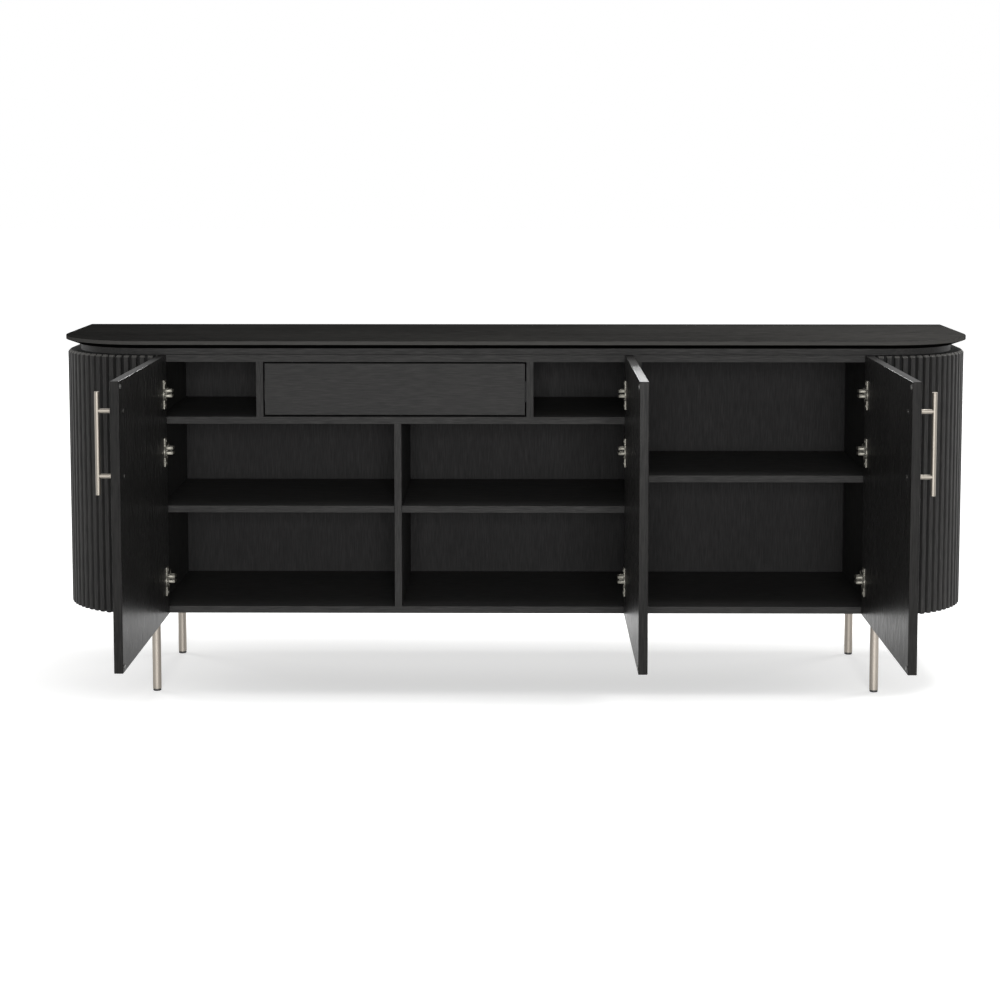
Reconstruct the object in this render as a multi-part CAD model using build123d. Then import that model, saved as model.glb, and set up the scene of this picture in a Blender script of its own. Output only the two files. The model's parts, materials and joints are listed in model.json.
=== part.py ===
# Long sideboard with curved slatted ends, three hinged doors, one inset drawer and shelves.
# Millimetres, +X right, +Y back, +Z up, origin on the floor under the middle of the open piece.
# The doors are drawn as they stand at rest, opened square to the front.

from build123d import *
import math
import os

# Overall sizes
SLAB_WIDTH = 2000.0
SLAB_DEPTH = 450.0
LEG_HEIGHT = 185.0
CARCASS_HEIGHT = 563.0
SPACER_HEIGHT = 14.0
SLAB_THICKNESS = 18.0

# Top slab and the recessed spacer below it
SLAB_EDGE = 8.0
SLAB_BEVEL_RUN = 27.0
SLAB_OVERHANG = 4.0
SLAB_FRONT_REACH = 25.0
SPACER_INSET = 28.0
SPACER_BACK_INSET = 10.0
SLAB_EDGE_ROUND = 1.0

# Carcass boards
BOARD = 15.0
END_BAY_WIDTH = 230.0
CARCASS_BACK_INSET = 5.0
BACK_BOARD = 12.0
BACK_RECESS = 36.0
DRAWER_BAY_HEIGHT = 119.0
LEFT_CUBBY_WIDTH = 213.0
RIGHT_CUBBY_WIDTH = 217.0
LOWER_DIVIDER_SHIFT = 4.0

# Curved slatted ends
END_RADIUS = 200.0
END_CORE = 12.0
SLAT_THICKNESS = 8.0
SLAT_WIDTH = 10.5
SLAT_PITCH = 17.0
SLAT_ROUND = 2.0
SLAT_TOP_BEVEL = 5.0

# Doors
DOOR_THICKNESS = 18.0
DOOR_FRONT_GAP = 2.0
DOOR_SIDE_GAP = 4.0
HINGE_EDGE_INSET = 1.5
DOOR_OUTER_ROUND = 2.0
DOOR_INNER_ROUND = 1.0
DOOR_REST_ANGLE = 90.0
BUMPER_RADIUS = 4.5
BUMPER_HEIGHT = 1.8
BUMPER_INSET = 11.0

# Concealed hinges
LOW_HINGE_RISE = 77.0
MIDDLE_HINGE_DROP = 206.0
TOP_HINGE_DROP = 82.0
PIN_INSET = 7.25
PIN_DEPTH = 12.0
PIN_RADIUS = 1.25
PIN_CLEARANCE = 0.05
EYE_WALL = 1.25
CUP_RADIUS = 17.5
CUP_EDGE = 3.0
CUP_WALL = 1.0
CUP_CAVITY_DEPTH = 14.9
CUP_POCKET_CLEARANCE = 0.1
THROAT_HALF = 11.0
FLANGE_THICKNESS = 2.5
FLANGE_LENGTH = 61.0
FLANGE_WIDTH = 20.0
FLANGE_ROUND = 0.9
CUP_SCREW_SPACING = 48.0
CUP_SCREW_OFFSET = 4.0
ARM_STOCK = 3.0
ARM_HALF = 8.0
ARM_REACH = 34.0
ARM_SET_BACK = 6.0
ARM_LENGTH = 50.0
ARM_HEIGHT = 14.0
PLATE_HEIGHT = 6.0
PLATE_SEAT_INSET = 1.0
PLATE_WING = 2.5
PLATE_WING_WIDTH = 20.0
PLATE_WING_LENGTH = 54.0
PLATE_SCREW_SPACING = 40.0

# Bar handles
HANDLE_LENGTH = 200.0
HANDLE_SPACING = 126.0
HANDLE_BAR_RADIUS = 5.0
HANDLE_POST_RADIUS = 4.5
HANDLE_PROJECTION = 32.0
HANDLE_INSET = 40.0
HANDLE_DROP = 124.0
HANDLE_ROUND = 0.8
HANDLED_DOORS = ("left", "right")

# Wood and machine screws
SCREW_RADIUS = 1.75
SCREW_HEAD_RADIUS = 3.5
SCREW_HEAD = 1.0
SCREW_BITE = 12.0
HANDLE_SCREW_RADIUS = 2.0
HANDLE_SCREW_HEAD_RADIUS = 4.0
HANDLE_SCREW_HEAD = 1.6
HANDLE_SCREW_BITE = 9.0

# Legs
LEG_RADIUS = 9.5
LEG_END_INSET = 211.0
LEG_FRONT_INSET = 50.0
LEG_BACK_INSET = 35.0
LEG_PLATE = 64.0
LEG_PLATE_THICKNESS = 3.0
LEG_PLATE_ROUND = 6.0
LEG_SCREW_SPACING = 48.0
FOOT_HEIGHT = 5.0
FOOT_RADIUS = 9.0

# Loose shelves and their pins
SHELF_CLEARANCE = 1.0
SHELF_SET_BACK = 3.0
SHELF_BACK_GAP = 4.0
SHELF_ROUND = 0.8
LEFT_BAY_SHELF_LEVEL = 220.0
RIGHT_BAY_HINGE_GAP = 28.0
SHELF_PIN_RADIUS = 2.5
SHELF_PIN_DEPTH = 7.0
SHELF_PIN_TAB = 9.0
SHELF_PIN_TAB_WIDTH = 8.0
SHELF_PIN_TAB_HEIGHT = 6.0
SHELF_PIN_FRONT_INSET = 60.0
SHELF_PIN_BACK_INSET = 55.0

# Drawer and its three-part runners
DRAWER_FRONT_BOARD = 15.0
DRAWER_FRONT_RECESS = 2.0
DRAWER_SIDE_GAP = 3.0
DRAWER_TOP_GAP = 3.5
DRAWER_LOW_GAP = 4.0
DRAWER_BOX_BOARD = 12.0
DRAWER_BOX_LIFT = 8.0
DRAWER_BOX_DROP = 22.0
DRAWER_BACK_GAP = 15.0
DRAWER_BOTTOM_BOARD = 6.0
DRAWER_BOTTOM_LIFT = 8.0
RUNNER_THICKNESS = 12.7
RUNNER_HEIGHT = 45.0
RUNNER_SHEET = 1.2
RUNNER_PLAY = 0.3
RUNNER_FRONT_GAP = 4.0
RUNNER_BACK_GAP = 2.0

# Levels above the floor
CARCASS_LOW = LEG_HEIGHT
CARCASS_TOP = CARCASS_LOW + CARCASS_HEIGHT
SPACER_TOP = CARCASS_TOP + SPACER_HEIGHT
SLAB_TOP = SPACER_TOP + SLAB_THICKNESS
INNER_LOW = CARCASS_LOW + BOARD
INNER_TOP = CARCASS_TOP - BOARD
FIXED_SHELF_TOP = INNER_TOP - DRAWER_BAY_HEIGHT
FIXED_SHELF_LOW = FIXED_SHELF_TOP - BOARD
DRAWER_BOX_LOW = FIXED_SHELF_TOP + DRAWER_BOX_LIFT
DRAWER_BOX_TOP = INNER_TOP - DRAWER_BOX_DROP

# Levels above the lower edge of the doors
MIDDLE_HINGE_LEVEL = CARCASS_HEIGHT - MIDDLE_HINGE_DROP
HINGE_LEVELS = (LOW_HINGE_RISE, MIDDLE_HINGE_LEVEL, CARCASS_HEIGHT - TOP_HINGE_DROP)
HANDLE_LEVEL = CARCASS_HEIGHT - HANDLE_DROP
RIGHT_BAY_SHELF_TOP = MIDDLE_HINGE_LEVEL - PLATE_WING_LENGTH / 2 - RIGHT_BAY_HINGE_GAP
RIGHT_BAY_SHELF_LEVEL = RIGHT_BAY_SHELF_TOP - BOARD

# Door widths and hinge edges, across the front
WALL_X = SLAB_WIDTH / 2 - END_BAY_WIDTH
DOOR_SPAN = 2 * (WALL_X - HINGE_EDGE_INSET)
DOOR_WIDTH = (DOOR_SPAN - 2 * DOOR_SIDE_GAP) / 3
OUTER_HINGE_X = DOOR_SPAN / 2
MIDDLE_HINGE_X = DOOR_WIDTH / 2
PARTITION_X = MIDDLE_HINGE_X + HINGE_EDGE_INSET
END_FRONT_X = OUTER_HINGE_X + DOOR_SIDE_GAP

# Places across the left bay, and of the legs
DRAWER_LEFT_X = -WALL_X + LEFT_CUBBY_WIDTH + BOARD
DRAWER_RIGHT_X = PARTITION_X - RIGHT_CUBBY_WIDTH - BOARD
DRAWER_CENTRE_X = (DRAWER_LEFT_X + DRAWER_RIGHT_X) / 2
DRAWER_OPENING = DRAWER_RIGHT_X - DRAWER_LEFT_X
LOWER_DIVIDER_X = (PARTITION_X - WALL_X) / 2 + LOWER_DIVIDER_SHIFT
LEG_X = SLAB_WIDTH / 2 - LEG_END_INSET

# Depths, measured from the front plane of the carcass boards
PIN_FRONT = DOOR_FRONT_GAP + PIN_DEPTH
DOOR_FACE = DOOR_FRONT_GAP + DOOR_THICKNESS
OPEN_DOOR_REACH = PIN_FRONT + DOOR_WIDTH - PIN_INSET
SLAB_BACK = SLAB_DEPTH - SLAB_FRONT_REACH
FRONT_Y = (OPEN_DOOR_REACH - SLAB_BACK) / 2
CARCASS_BACK_Y = FRONT_Y + SLAB_BACK - CARCASS_BACK_INSET
BACK_BOARD_Y = CARCASS_BACK_Y - BACK_RECESS - BACK_BOARD
SHELF_PIN_PLACES = (FRONT_Y + SHELF_PIN_FRONT_INSET, BACK_BOARD_Y - SHELF_PIN_BACK_INSET)
DRAWER_BOX_FRONT_Y = FRONT_Y + DRAWER_FRONT_RECESS + DRAWER_FRONT_BOARD
DRAWER_BOX_BACK_Y = BACK_BOARD_Y - DRAWER_BACK_GAP

# Plan of the slatted ends, from the outside in
END_X = SLAB_WIDTH / 2 - SLAB_OVERHANG
CORE_X = END_X - SLAT_THICKNESS
CARCASS_X = CORE_X - END_CORE
CORE_FRONT_Y = FRONT_Y - END_CORE
CORE_RADIUS = END_RADIUS - SLAT_THICKNESS
CARCASS_RADIUS = CORE_RADIUS - END_CORE
SLAT_FRONT_Y = CORE_FRONT_Y - SLAT_THICKNESS


def block(x0, x1, y0, y1, z0, z1):
    """Board or bar between two opposite corners."""
    low = (min(x0, x1), min(y0, y1), min(z0, z1))
    size = (abs(x1 - x0), abs(y1 - y0), abs(z1 - z0))
    return Pos(*low) * Box(*size, align=(Align.MIN, Align.MIN, Align.MIN))


def rod(x, y, z0, z1, radius):
    """Upright round bar."""
    return Pos(x, y, min(z0, z1)) * Cylinder(
        radius, abs(z1 - z0), align=(Align.CENTER, Align.CENTER, Align.MIN)
    )


def rod_along_x(x0, x1, y, z, radius):
    """Round bar lying across the piece."""
    return Pos((x0 + x1) / 2, y, z) * Rot(0, 90, 0) * Cylinder(radius, abs(x1 - x0))


def rod_along_y(x, y0, y1, z, radius):
    """Round bar lying from front to back."""
    return Pos(x, (y0 + y1) / 2, z) * Rot(90, 0, 0) * Cylinder(radius, abs(y1 - y0))


def rounded_plan(half_width, y_front, y_back, radius):
    """Flat plan with round front corners and square back corners."""
    inner = half_width - radius
    centre_y = y_front + radius
    edges = [
        Line((-half_width, y_back), (-half_width, centre_y)),
        CenterArc((-inner, centre_y), radius, 180, 90),
        Line((-inner, y_front), (inner, y_front)),
        CenterArc((inner, centre_y), radius, 270, 90),
        Line((half_width, centre_y), (half_width, y_back)),
        Line((half_width, y_back), (-half_width, y_back)),
    ]
    return make_face(edges)


def slab_plan(inset):
    """Plan of the slab, drawn in on its front and sides but not at the back."""
    return rounded_plan(
        SLAB_WIDTH / 2 - inset,
        FRONT_Y - SLAB_FRONT_REACH + inset,
        FRONT_Y + SLAB_BACK,
        END_RADIUS + SLAB_OVERHANG - inset,
    )


def top_slab():
    """Top slab: a thin upright edge over an undercut that runs back to the spacer."""
    edge_low = SLAB_TOP - SLAB_EDGE
    rim = Pos(0, 0, edge_low) * extrude(slab_plan(0), SLAB_EDGE)
    undercut = loft(
        [Pos(0, 0, SPACER_TOP) * slab_plan(SLAB_BEVEL_RUN), Pos(0, 0, edge_low) * slab_plan(0)],
        ruled=True,
    )
    slab = rim + undercut
    return fillet(slab.faces().sort_by(Axis.Z)[-1].edges(), SLAB_EDGE_ROUND)


def top_spacer():
    """Recessed spacer that makes the shadow line under the slab."""
    plan = rounded_plan(
        END_X - SPACER_INSET,
        SLAT_FRONT_Y + SPACER_INSET,
        CARCASS_BACK_Y - SPACER_BACK_INSET,
        END_RADIUS - SPACER_INSET,
    )
    return Pos(0, 0, CARCASS_TOP) * extrude(plan, SPACER_HEIGHT)


def carcass_plan():
    """Plan of the carcass top and bottom boards, inside the curved ends."""
    return rounded_plan(CARCASS_X, FRONT_Y, CARCASS_BACK_Y, CARCASS_RADIUS)


def leg_places():
    """Centres of the four legs, front pair first."""
    rows = (FRONT_Y + LEG_FRONT_INSET, CARCASS_BACK_Y - LEG_BACK_INSET)
    return [(side * LEG_X, y) for y in rows for side in (-1, 1)]


def leg_screw_places():
    """Centres of the screws that hold the leg plates."""
    half = LEG_SCREW_SPACING / 2
    return [(x + i * half, y + j * half) for x, y in leg_places() for i in (-1, 1) for j in (-1, 1)]


def leg_screw_holes(radius):
    """Upright bars where the leg screws bite into the bottom board."""
    plate_low = CARCASS_LOW - LEG_PLATE_THICKNESS
    return [rod(x, y, plate_low, plate_low + SCREW_BITE, radius) for x, y in leg_screw_places()]


def carcass_top_panel():
    """Top board of the carcass."""
    return Pos(0, 0, INNER_TOP) * extrude(carcass_plan(), BOARD)


def carcass_bottom_panel():
    """Bottom board of the carcass, drilled for the leg screws."""
    board = Pos(0, 0, CARCASS_LOW) * extrude(carcass_plan(), BOARD)
    return board - leg_screw_holes(SCREW_RADIUS)


def end_core(side):
    """Bent shell behind the slats of one end; side is -1 on the left and 1 on the right."""
    outer = rounded_plan(CORE_X, CORE_FRONT_Y, CARCASS_BACK_Y, CORE_RADIUS)
    band = extrude(outer - carcass_plan(), CARCASS_HEIGHT)
    keep = block(side * END_FRONT_X, side * CORE_X, CORE_FRONT_Y, CARCASS_BACK_Y, 0, CARCASS_HEIGHT)
    return Pos(0, 0, CARCASS_LOW) * (band & keep)


def slat_places():
    """Centres and turns of the slats of the right end, along the outside of its shell."""
    straight_front = CORE_X - CORE_RADIUS - END_FRONT_X
    arc = CORE_RADIUS * math.pi / 2
    straight_side = CARCASS_BACK_Y - CORE_FRONT_Y - CORE_RADIUS
    length = straight_front + arc + straight_side
    count = int(length / SLAT_PITCH)
    centre_x = CORE_X - CORE_RADIUS
    centre_y = CORE_FRONT_Y + CORE_RADIUS
    places = []
    for index in range(count):
        along = (index + 0.5) * length / count
        if along < straight_front:
            places.append((END_FRONT_X + along, CORE_FRONT_Y, 0.0))
        elif along < straight_front + arc:
            turn = (along - straight_front) / CORE_RADIUS
            x = centre_x + CORE_RADIUS * math.sin(turn)
            y = centre_y - CORE_RADIUS * math.cos(turn)
            places.append((x, y, math.degrees(turn)))
        else:
            places.append((CORE_X, centre_y + along - straight_front - arc, 90.0))
    return places


def slat_top_cut():
    """Wedge that slants the top end of a slat down towards its outer face."""
    corner = (0, -SLAT_THICKNESS, CARCASS_HEIGHT)
    below = (0, -SLAT_THICKNESS, CARCASS_HEIGHT - SLAT_TOP_BEVEL)
    behind = (0, -SLAT_THICKNESS + SLAT_TOP_BEVEL, CARCASS_HEIGHT)
    return extrude(make_face(Polyline(corner, below, behind, close=True)), SLAT_WIDTH, both=True)


def end_slats(side):
    """Upright slats glued round one curved end."""
    half = SLAT_WIDTH / 2
    profile = Pos(0, -SLAT_THICKNESS / 2) * Rectangle(SLAT_WIDTH, SLAT_THICKNESS)
    outer_corners = profile.vertices().sort_by(Axis.Y)[:2]
    bar = extrude(fillet(outer_corners, min(SLAT_ROUND, half / 2)), CARCASS_HEIGHT)
    slat = bar - slat_top_cut()
    slats = [
        Pos(side * x, y, CARCASS_LOW) * Rot(0, 0, side * turn) * slat for x, y, turn in slat_places()
    ]
    return Compound(children=slats)


def hinge_edges():
    """Hinge edge and opening side of each door: 1 opens from its left edge, -1 from its right."""
    return {
        "left": (-OUTER_HINGE_X, 1),
        "middle": (MIDDLE_HINGE_X, -1),
        "right": (OUTER_HINGE_X, -1),
    }


def at_hinge(shape, door):
    """Place a shape drawn from a left hinge edge at the hinge edge of a door."""
    x, hand = hinge_edges()[door]
    handed = shape if hand == 1 else shape.mirror(Plane.YZ)
    return Pos(x, FRONT_Y, CARCASS_LOW) * handed


def open_door(shape, door):
    """Swing a shape of the closed door to its place at rest, then put it at its hinges."""
    pivot = Axis((PIN_INSET, -PIN_FRONT, 0), (0, 0, 1))
    return at_hinge(shape.rotate(pivot, -DOOR_REST_ANGLE), door)


def hinge_plate_screw_bars(radius):
    """Bars across a wall where the screws of its three hinge plates sit."""
    y = ARM_SET_BACK + ARM_LENGTH / 2
    head_seat = PLATE_WING - HINGE_EDGE_INSET
    levels = [z + i * PLATE_SCREW_SPACING / 2 for z in HINGE_LEVELS for i in (-1, 1)]
    return [rod_along_x(head_seat - SCREW_BITE, head_seat, y, z, radius) for z in levels]


def hinge_plate_holes(door):
    """Screw holes for the hinge plates of one door."""
    return [at_hinge(bar, door) for bar in hinge_plate_screw_bars(SCREW_RADIUS)]


def shelf_pin_rows():
    """Every wall face that holds shelf pins: its x, the side it faces and the shelf level."""
    left = CARCASS_LOW + LEFT_BAY_SHELF_LEVEL
    right = CARCASS_LOW + RIGHT_BAY_SHELF_LEVEL
    return [
        ("left_side", -WALL_X, 1, left),
        ("lower_divider", LOWER_DIVIDER_X - BOARD / 2, -1, left),
        ("lower_divider", LOWER_DIVIDER_X + BOARD / 2, 1, left),
        ("partition", PARTITION_X, -1, left),
        ("partition", PARTITION_X + BOARD, 1, right),
        ("right_side", WALL_X, -1, right),
    ]


def shelf_pin_holes(board):
    """Holes for the shelf pins of one upright board."""
    holes = []
    for name, x, facing, level in shelf_pin_rows():
        if name == board:
            z = level - SHELF_PIN_TAB_HEIGHT / 2
            for y in SHELF_PIN_PLACES:
                holes.append(rod_along_x(x - facing * SHELF_PIN_DEPTH, x, y, z, SHELF_PIN_RADIUS))
    return holes


def shelf_pins():
    """Pins with a flat tab, one under each corner of each loose shelf."""
    pins = []
    for _, x, facing, level in shelf_pin_rows():
        z = level - SHELF_PIN_TAB_HEIGHT / 2
        for y in SHELF_PIN_PLACES:
            shank = rod_along_x(x - facing * SHELF_PIN_DEPTH, x, y, z, SHELF_PIN_RADIUS)
            tab = block(
                x,
                x + facing * SHELF_PIN_TAB,
                y - SHELF_PIN_TAB_WIDTH / 2,
                y + SHELF_PIN_TAB_WIDTH / 2,
                level - SHELF_PIN_TAB_HEIGHT,
                level,
            )
            pins.append(shank + tab)
    return Compound(children=pins)


def left_side_panel():
    """Left wall of the left bay, drilled for hinge plates and shelf pins."""
    wall = block(-WALL_X - BOARD, -WALL_X, FRONT_Y, BACK_BOARD_Y, INNER_LOW, INNER_TOP)
    return wall - hinge_plate_holes("left") - shelf_pin_holes("left_side")


def right_side_panel():
    """Right wall of the right bay, drilled for hinge plates and shelf pins."""
    wall = block(WALL_X, WALL_X + BOARD, FRONT_Y, BACK_BOARD_Y, INNER_LOW, INNER_TOP)
    return wall - hinge_plate_holes("right") - shelf_pin_holes("right_side")


def bay_partition():
    """Upright board between the two bays, which carries the middle door."""
    wall = block(PARTITION_X, PARTITION_X + BOARD, FRONT_Y, BACK_BOARD_Y, INNER_LOW, INNER_TOP)
    return wall - hinge_plate_holes("middle") - shelf_pin_holes("partition")


def back_panel():
    """Back board across the whole width, set in from the back edges."""
    return block(
        -CARCASS_X, CARCASS_X, BACK_BOARD_Y, BACK_BOARD_Y + BACK_BOARD, INNER_LOW, INNER_TOP
    )


def fixed_shelf():
    """Fixed shelf under the drawer, across the left bay."""
    return block(-WALL_X, PARTITION_X, FRONT_Y, BACK_BOARD_Y, FIXED_SHELF_LOW, FIXED_SHELF_TOP)


def drawer_wall(side):
    """Face of the divider that the drawer runs along; side is -1 or 1."""
    return DRAWER_CENTRE_X + side * DRAWER_OPENING / 2


def drawer_dividers():
    """Two short uprights beside the drawer."""
    boards = []
    for side in (-1, 1):
        face = drawer_wall(side)
        boards.append(
            block(face, face + side * BOARD, FRONT_Y, BACK_BOARD_Y, FIXED_SHELF_TOP, INNER_TOP)
        )
    return Compound(children=boards)


def lower_divider():
    """Upright board under the fixed shelf."""
    x = LOWER_DIVIDER_X
    wall = block(x - BOARD / 2, x + BOARD / 2, FRONT_Y, BACK_BOARD_Y, INNER_LOW, FIXED_SHELF_LOW)
    return wall - shelf_pin_holes("lower_divider")


def loose_shelf(x_left, x_right, level):
    """Loose shelf that lies on four pins between two uprights."""
    low = CARCASS_LOW + level
    board = block(
        x_left + SHELF_CLEARANCE,
        x_right - SHELF_CLEARANCE,
        FRONT_Y + SHELF_SET_BACK,
        BACK_BOARD_Y - SHELF_BACK_GAP,
        low,
        low + BOARD,
    )
    front_edges = board.faces().sort_by(Axis.Y)[0].edges().filter_by(Axis.X)
    return fillet(front_edges, SHELF_ROUND)


def legs(row):
    """The two round legs of one row; row 0 is the front one."""
    top = CARCASS_LOW - LEG_PLATE_THICKNESS
    pair = leg_places()[2 * row : 2 * row + 2]
    return Compound(children=[rod(x, y, FOOT_HEIGHT, top, LEG_RADIUS) for x, y in pair])


def leg_feet():
    """Foot tips under the legs."""
    feet = []
    for x, y in leg_places():
        foot = rod(x, y, 0, FOOT_HEIGHT, FOOT_RADIUS)
        low_edges = foot.edges().sort_by(Axis.Z)[:1]
        feet.append(fillet(low_edges, FOOT_HEIGHT / 5))
    return Compound(children=feet)


def leg_plates():
    """Square plates that carry the legs, screwed under the bottom board."""
    plan = RectangleRounded(LEG_PLATE, LEG_PLATE, LEG_PLATE_ROUND)
    low = CARCASS_LOW - LEG_PLATE_THICKNESS
    plate = extrude(plan, LEG_PLATE_THICKNESS)
    holes = leg_screw_holes(SCREW_RADIUS)
    return Compound(children=[(Pos(x, y, low) * plate) - holes for x, y in leg_places()])


def leg_plate_screws():
    """Wood screws, heads down, through the leg plates."""
    head_top = CARCASS_LOW - LEG_PLATE_THICKNESS
    shanks = leg_screw_holes(SCREW_RADIUS)
    screws = []
    for shank, (x, y) in zip(shanks, leg_screw_places()):
        screws.append(shank + rod(x, y, head_top - SCREW_HEAD, head_top, SCREW_HEAD_RADIUS))
    return Compound(children=screws)


def hinge_plate():
    """Mounting plate of one hinge, drawn at level 0 from the hinge edge."""
    wall = -HINGE_EDGE_INSET
    y0 = ARM_SET_BACK
    middle = y0 + ARM_LENGTH / 2
    half_wing = PLATE_WING_WIDTH / 2
    half_length = PLATE_WING_LENGTH / 2
    wing = block(wall, wall + PLATE_WING, middle - half_wing, middle + half_wing, -half_length, half_length)
    half_seat = ARM_HALF - PLATE_SEAT_INSET
    seat = block(wall, wall + PLATE_HEIGHT, y0, y0 + ARM_LENGTH, -half_seat, half_seat)
    return wing + seat


def hinge_plates():
    """Mounting plates of every hinge, on the walls that carry the doors."""
    drill = hinge_plate_screw_bars(SCREW_RADIUS)
    plates = []
    for door in hinge_edges():
        for level in HINGE_LEVELS:
            plates.append(at_hinge(Pos(0, 0, level) * hinge_plate() - drill, door))
    return Compound(children=plates)


def hinge_plate_screws():
    """Wood screws of the hinge plates."""
    head_seat = PLATE_WING - HINGE_EDGE_INSET
    y = ARM_SET_BACK + ARM_LENGTH / 2
    screws = []
    for door in hinge_edges():
        for level in HINGE_LEVELS:
            for i in (-1, 1):
                z = level + i * PLATE_SCREW_SPACING / 2
                shank = rod_along_x(head_seat - SCREW_BITE, head_seat, y, z, SCREW_RADIUS)
                head = rod_along_x(head_seat, head_seat + SCREW_HEAD, y, z, SCREW_HEAD_RADIUS)
                screws.append(at_hinge(shank + head, door))
    return Compound(children=screws)


def hinge_arm():
    """Gooseneck arm of one hinge: from its plate, out round the door edge and back to the pin."""
    seat = PLATE_HEIGHT - HINGE_EDGE_INSET
    y0 = ARM_SET_BACK
    half_stock = ARM_STOCK / 2
    body = block(seat, seat + ARM_HEIGHT, y0, y0 + ARM_LENGTH, -ARM_HALF, ARM_HALF)
    neck = block(seat, ARM_REACH, y0, y0 + ARM_STOCK, -ARM_HALF, ARM_HALF)
    riser = block(
        ARM_REACH - ARM_STOCK, ARM_REACH, y0 + ARM_STOCK, -PIN_FRONT - half_stock, -ARM_HALF, ARM_HALF
    )
    finger = block(
        PIN_INSET, ARM_REACH, -PIN_FRONT - half_stock, -PIN_FRONT + half_stock, -ARM_HALF, ARM_HALF
    )
    eye_radius = PIN_RADIUS + EYE_WALL
    eye = rod(PIN_INSET, -PIN_FRONT, -ARM_HALF, ARM_HALF, eye_radius)
    bore = rod(PIN_INSET, -PIN_FRONT, -ARM_HALF, ARM_HALF, PIN_RADIUS + PIN_CLEARANCE)
    arm = body + neck + riser + finger + eye - bore
    outer_bends = [
        edge
        for edge in arm.edges().filter_by(Axis.Z)
        if abs(edge.center().X - ARM_REACH) < PIN_CLEARANCE
    ]
    return fillet(outer_bends, ARM_STOCK - PIN_CLEARANCE)


def hinge_arms():
    """Arms of every hinge."""
    arm = hinge_arm()
    arms = []
    for door in hinge_edges():
        for level in HINGE_LEVELS:
            arms.append(at_hinge(Pos(0, 0, level) * arm, door))
    return Compound(children=arms)


def cup_body(radius_cut, depth, half_throat, throat_edge):
    """Round pot with a square throat towards the door edge, sunk from the inner face of the door."""
    centre = CUP_EDGE + CUP_RADIUS
    face = -DOOR_FRONT_GAP
    pot = rod_along_y(centre, face - depth, face, 0, CUP_RADIUS - radius_cut)
    throat = block(throat_edge, centre, face - depth, face, -half_throat, half_throat)
    return pot + throat


def cup_pocket():
    """Pocket in the door for one hinge cup."""
    return cup_body(
        -CUP_POCKET_CLEARANCE,
        CUP_CAVITY_DEPTH + CUP_WALL + CUP_POCKET_CLEARANCE,
        THROAT_HALF + CUP_WALL + CUP_POCKET_CLEARANCE,
        CUP_EDGE - CUP_WALL - CUP_POCKET_CLEARANCE,
    )


def cup_screw_bars(radius):
    """Bars where the two screws of one cup sit in the door."""
    x = CUP_EDGE + CUP_RADIUS + CUP_SCREW_OFFSET
    seat = -DOOR_FRONT_GAP + FLANGE_THICKNESS
    half = CUP_SCREW_SPACING / 2
    return [rod_along_y(x, seat - SCREW_BITE, seat, i * half, SCREW_RADIUS) for i in (-1, 1)]


def hinge_cup():
    """Cup of one hinge with its flange, drawn at level 0 in the closed door."""
    face = -DOOR_FRONT_GAP
    centre = CUP_EDGE + CUP_RADIUS
    shell = cup_body(0, CUP_CAVITY_DEPTH + CUP_WALL, THROAT_HALF + CUP_WALL, CUP_EDGE - CUP_WALL)
    half_width = FLANGE_WIDTH / 2
    mid = centre + CUP_SCREW_OFFSET
    flange = block(
        mid - half_width,
        mid + half_width,
        face,
        face + FLANGE_THICKNESS,
        -FLANGE_LENGTH / 2,
        FLANGE_LENGTH / 2,
    )
    flange = fillet(flange.faces().sort_by(Axis.Y)[-1].edges(), FLANGE_ROUND)
    rim = rod_along_y(centre, face, face + FLANGE_THICKNESS, 0, CUP_RADIUS + CUP_WALL)
    cavity = cup_body(CUP_WALL, CUP_CAVITY_DEPTH, THROAT_HALF, CUP_EDGE)
    mouth_body = cup_body(CUP_WALL, FLANGE_THICKNESS, THROAT_HALF, CUP_EDGE - CUP_WALL)
    mouth = Pos(0, FLANGE_THICKNESS, 0) * mouth_body
    pin_hole = rod(PIN_INSET, -PIN_FRONT, -THROAT_HALF - CUP_WALL, THROAT_HALF + CUP_WALL, PIN_RADIUS)
    return shell + flange + rim - cavity - mouth - pin_hole - cup_screw_bars(SCREW_RADIUS)


def hinge_pin():
    """Pivot pin of one hinge, held in the throat of its cup."""
    half = THROAT_HALF + CUP_WALL
    return rod(PIN_INSET, -PIN_FRONT, -half, half, PIN_RADIUS)


def cup_screws():
    """The two wood screws of one cup."""
    x = CUP_EDGE + CUP_RADIUS + CUP_SCREW_OFFSET
    seat = -DOOR_FRONT_GAP + FLANGE_THICKNESS
    half = CUP_SCREW_SPACING / 2
    screws = []
    for shank, i in zip(cup_screw_bars(SCREW_RADIUS), (-1, 1)):
        screws.append(shank + rod_along_y(x, seat, seat + SCREW_HEAD, i * half, SCREW_HEAD_RADIUS))
    return screws


def handle_post_levels():
    """Levels of the two posts of a handle above the door's lower edge."""
    return [HANDLE_LEVEL + i * HANDLE_SPACING / 2 for i in (-1, 1)]


def handle_x():
    """Distance of the handle from the hinge edge."""
    return DOOR_WIDTH - HANDLE_INSET


def handle_screw_bars(radius):
    """Bars where the screws of a handle pass through the door into its posts."""
    face = -DOOR_FRONT_GAP
    end = -DOOR_FACE - HANDLE_SCREW_BITE
    return [rod_along_y(handle_x(), end, face, z, radius) for z in handle_post_levels()]


def handle_bar():
    """Round bar of a handle."""
    y = -DOOR_FACE - HANDLE_PROJECTION
    low = HANDLE_LEVEL - HANDLE_LENGTH / 2
    bar = rod(handle_x(), y, low, low + HANDLE_LENGTH, HANDLE_BAR_RADIUS)
    rims = bar.edges().filter_by(GeomType.CIRCLE)
    return fillet(rims, HANDLE_ROUND)


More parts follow.
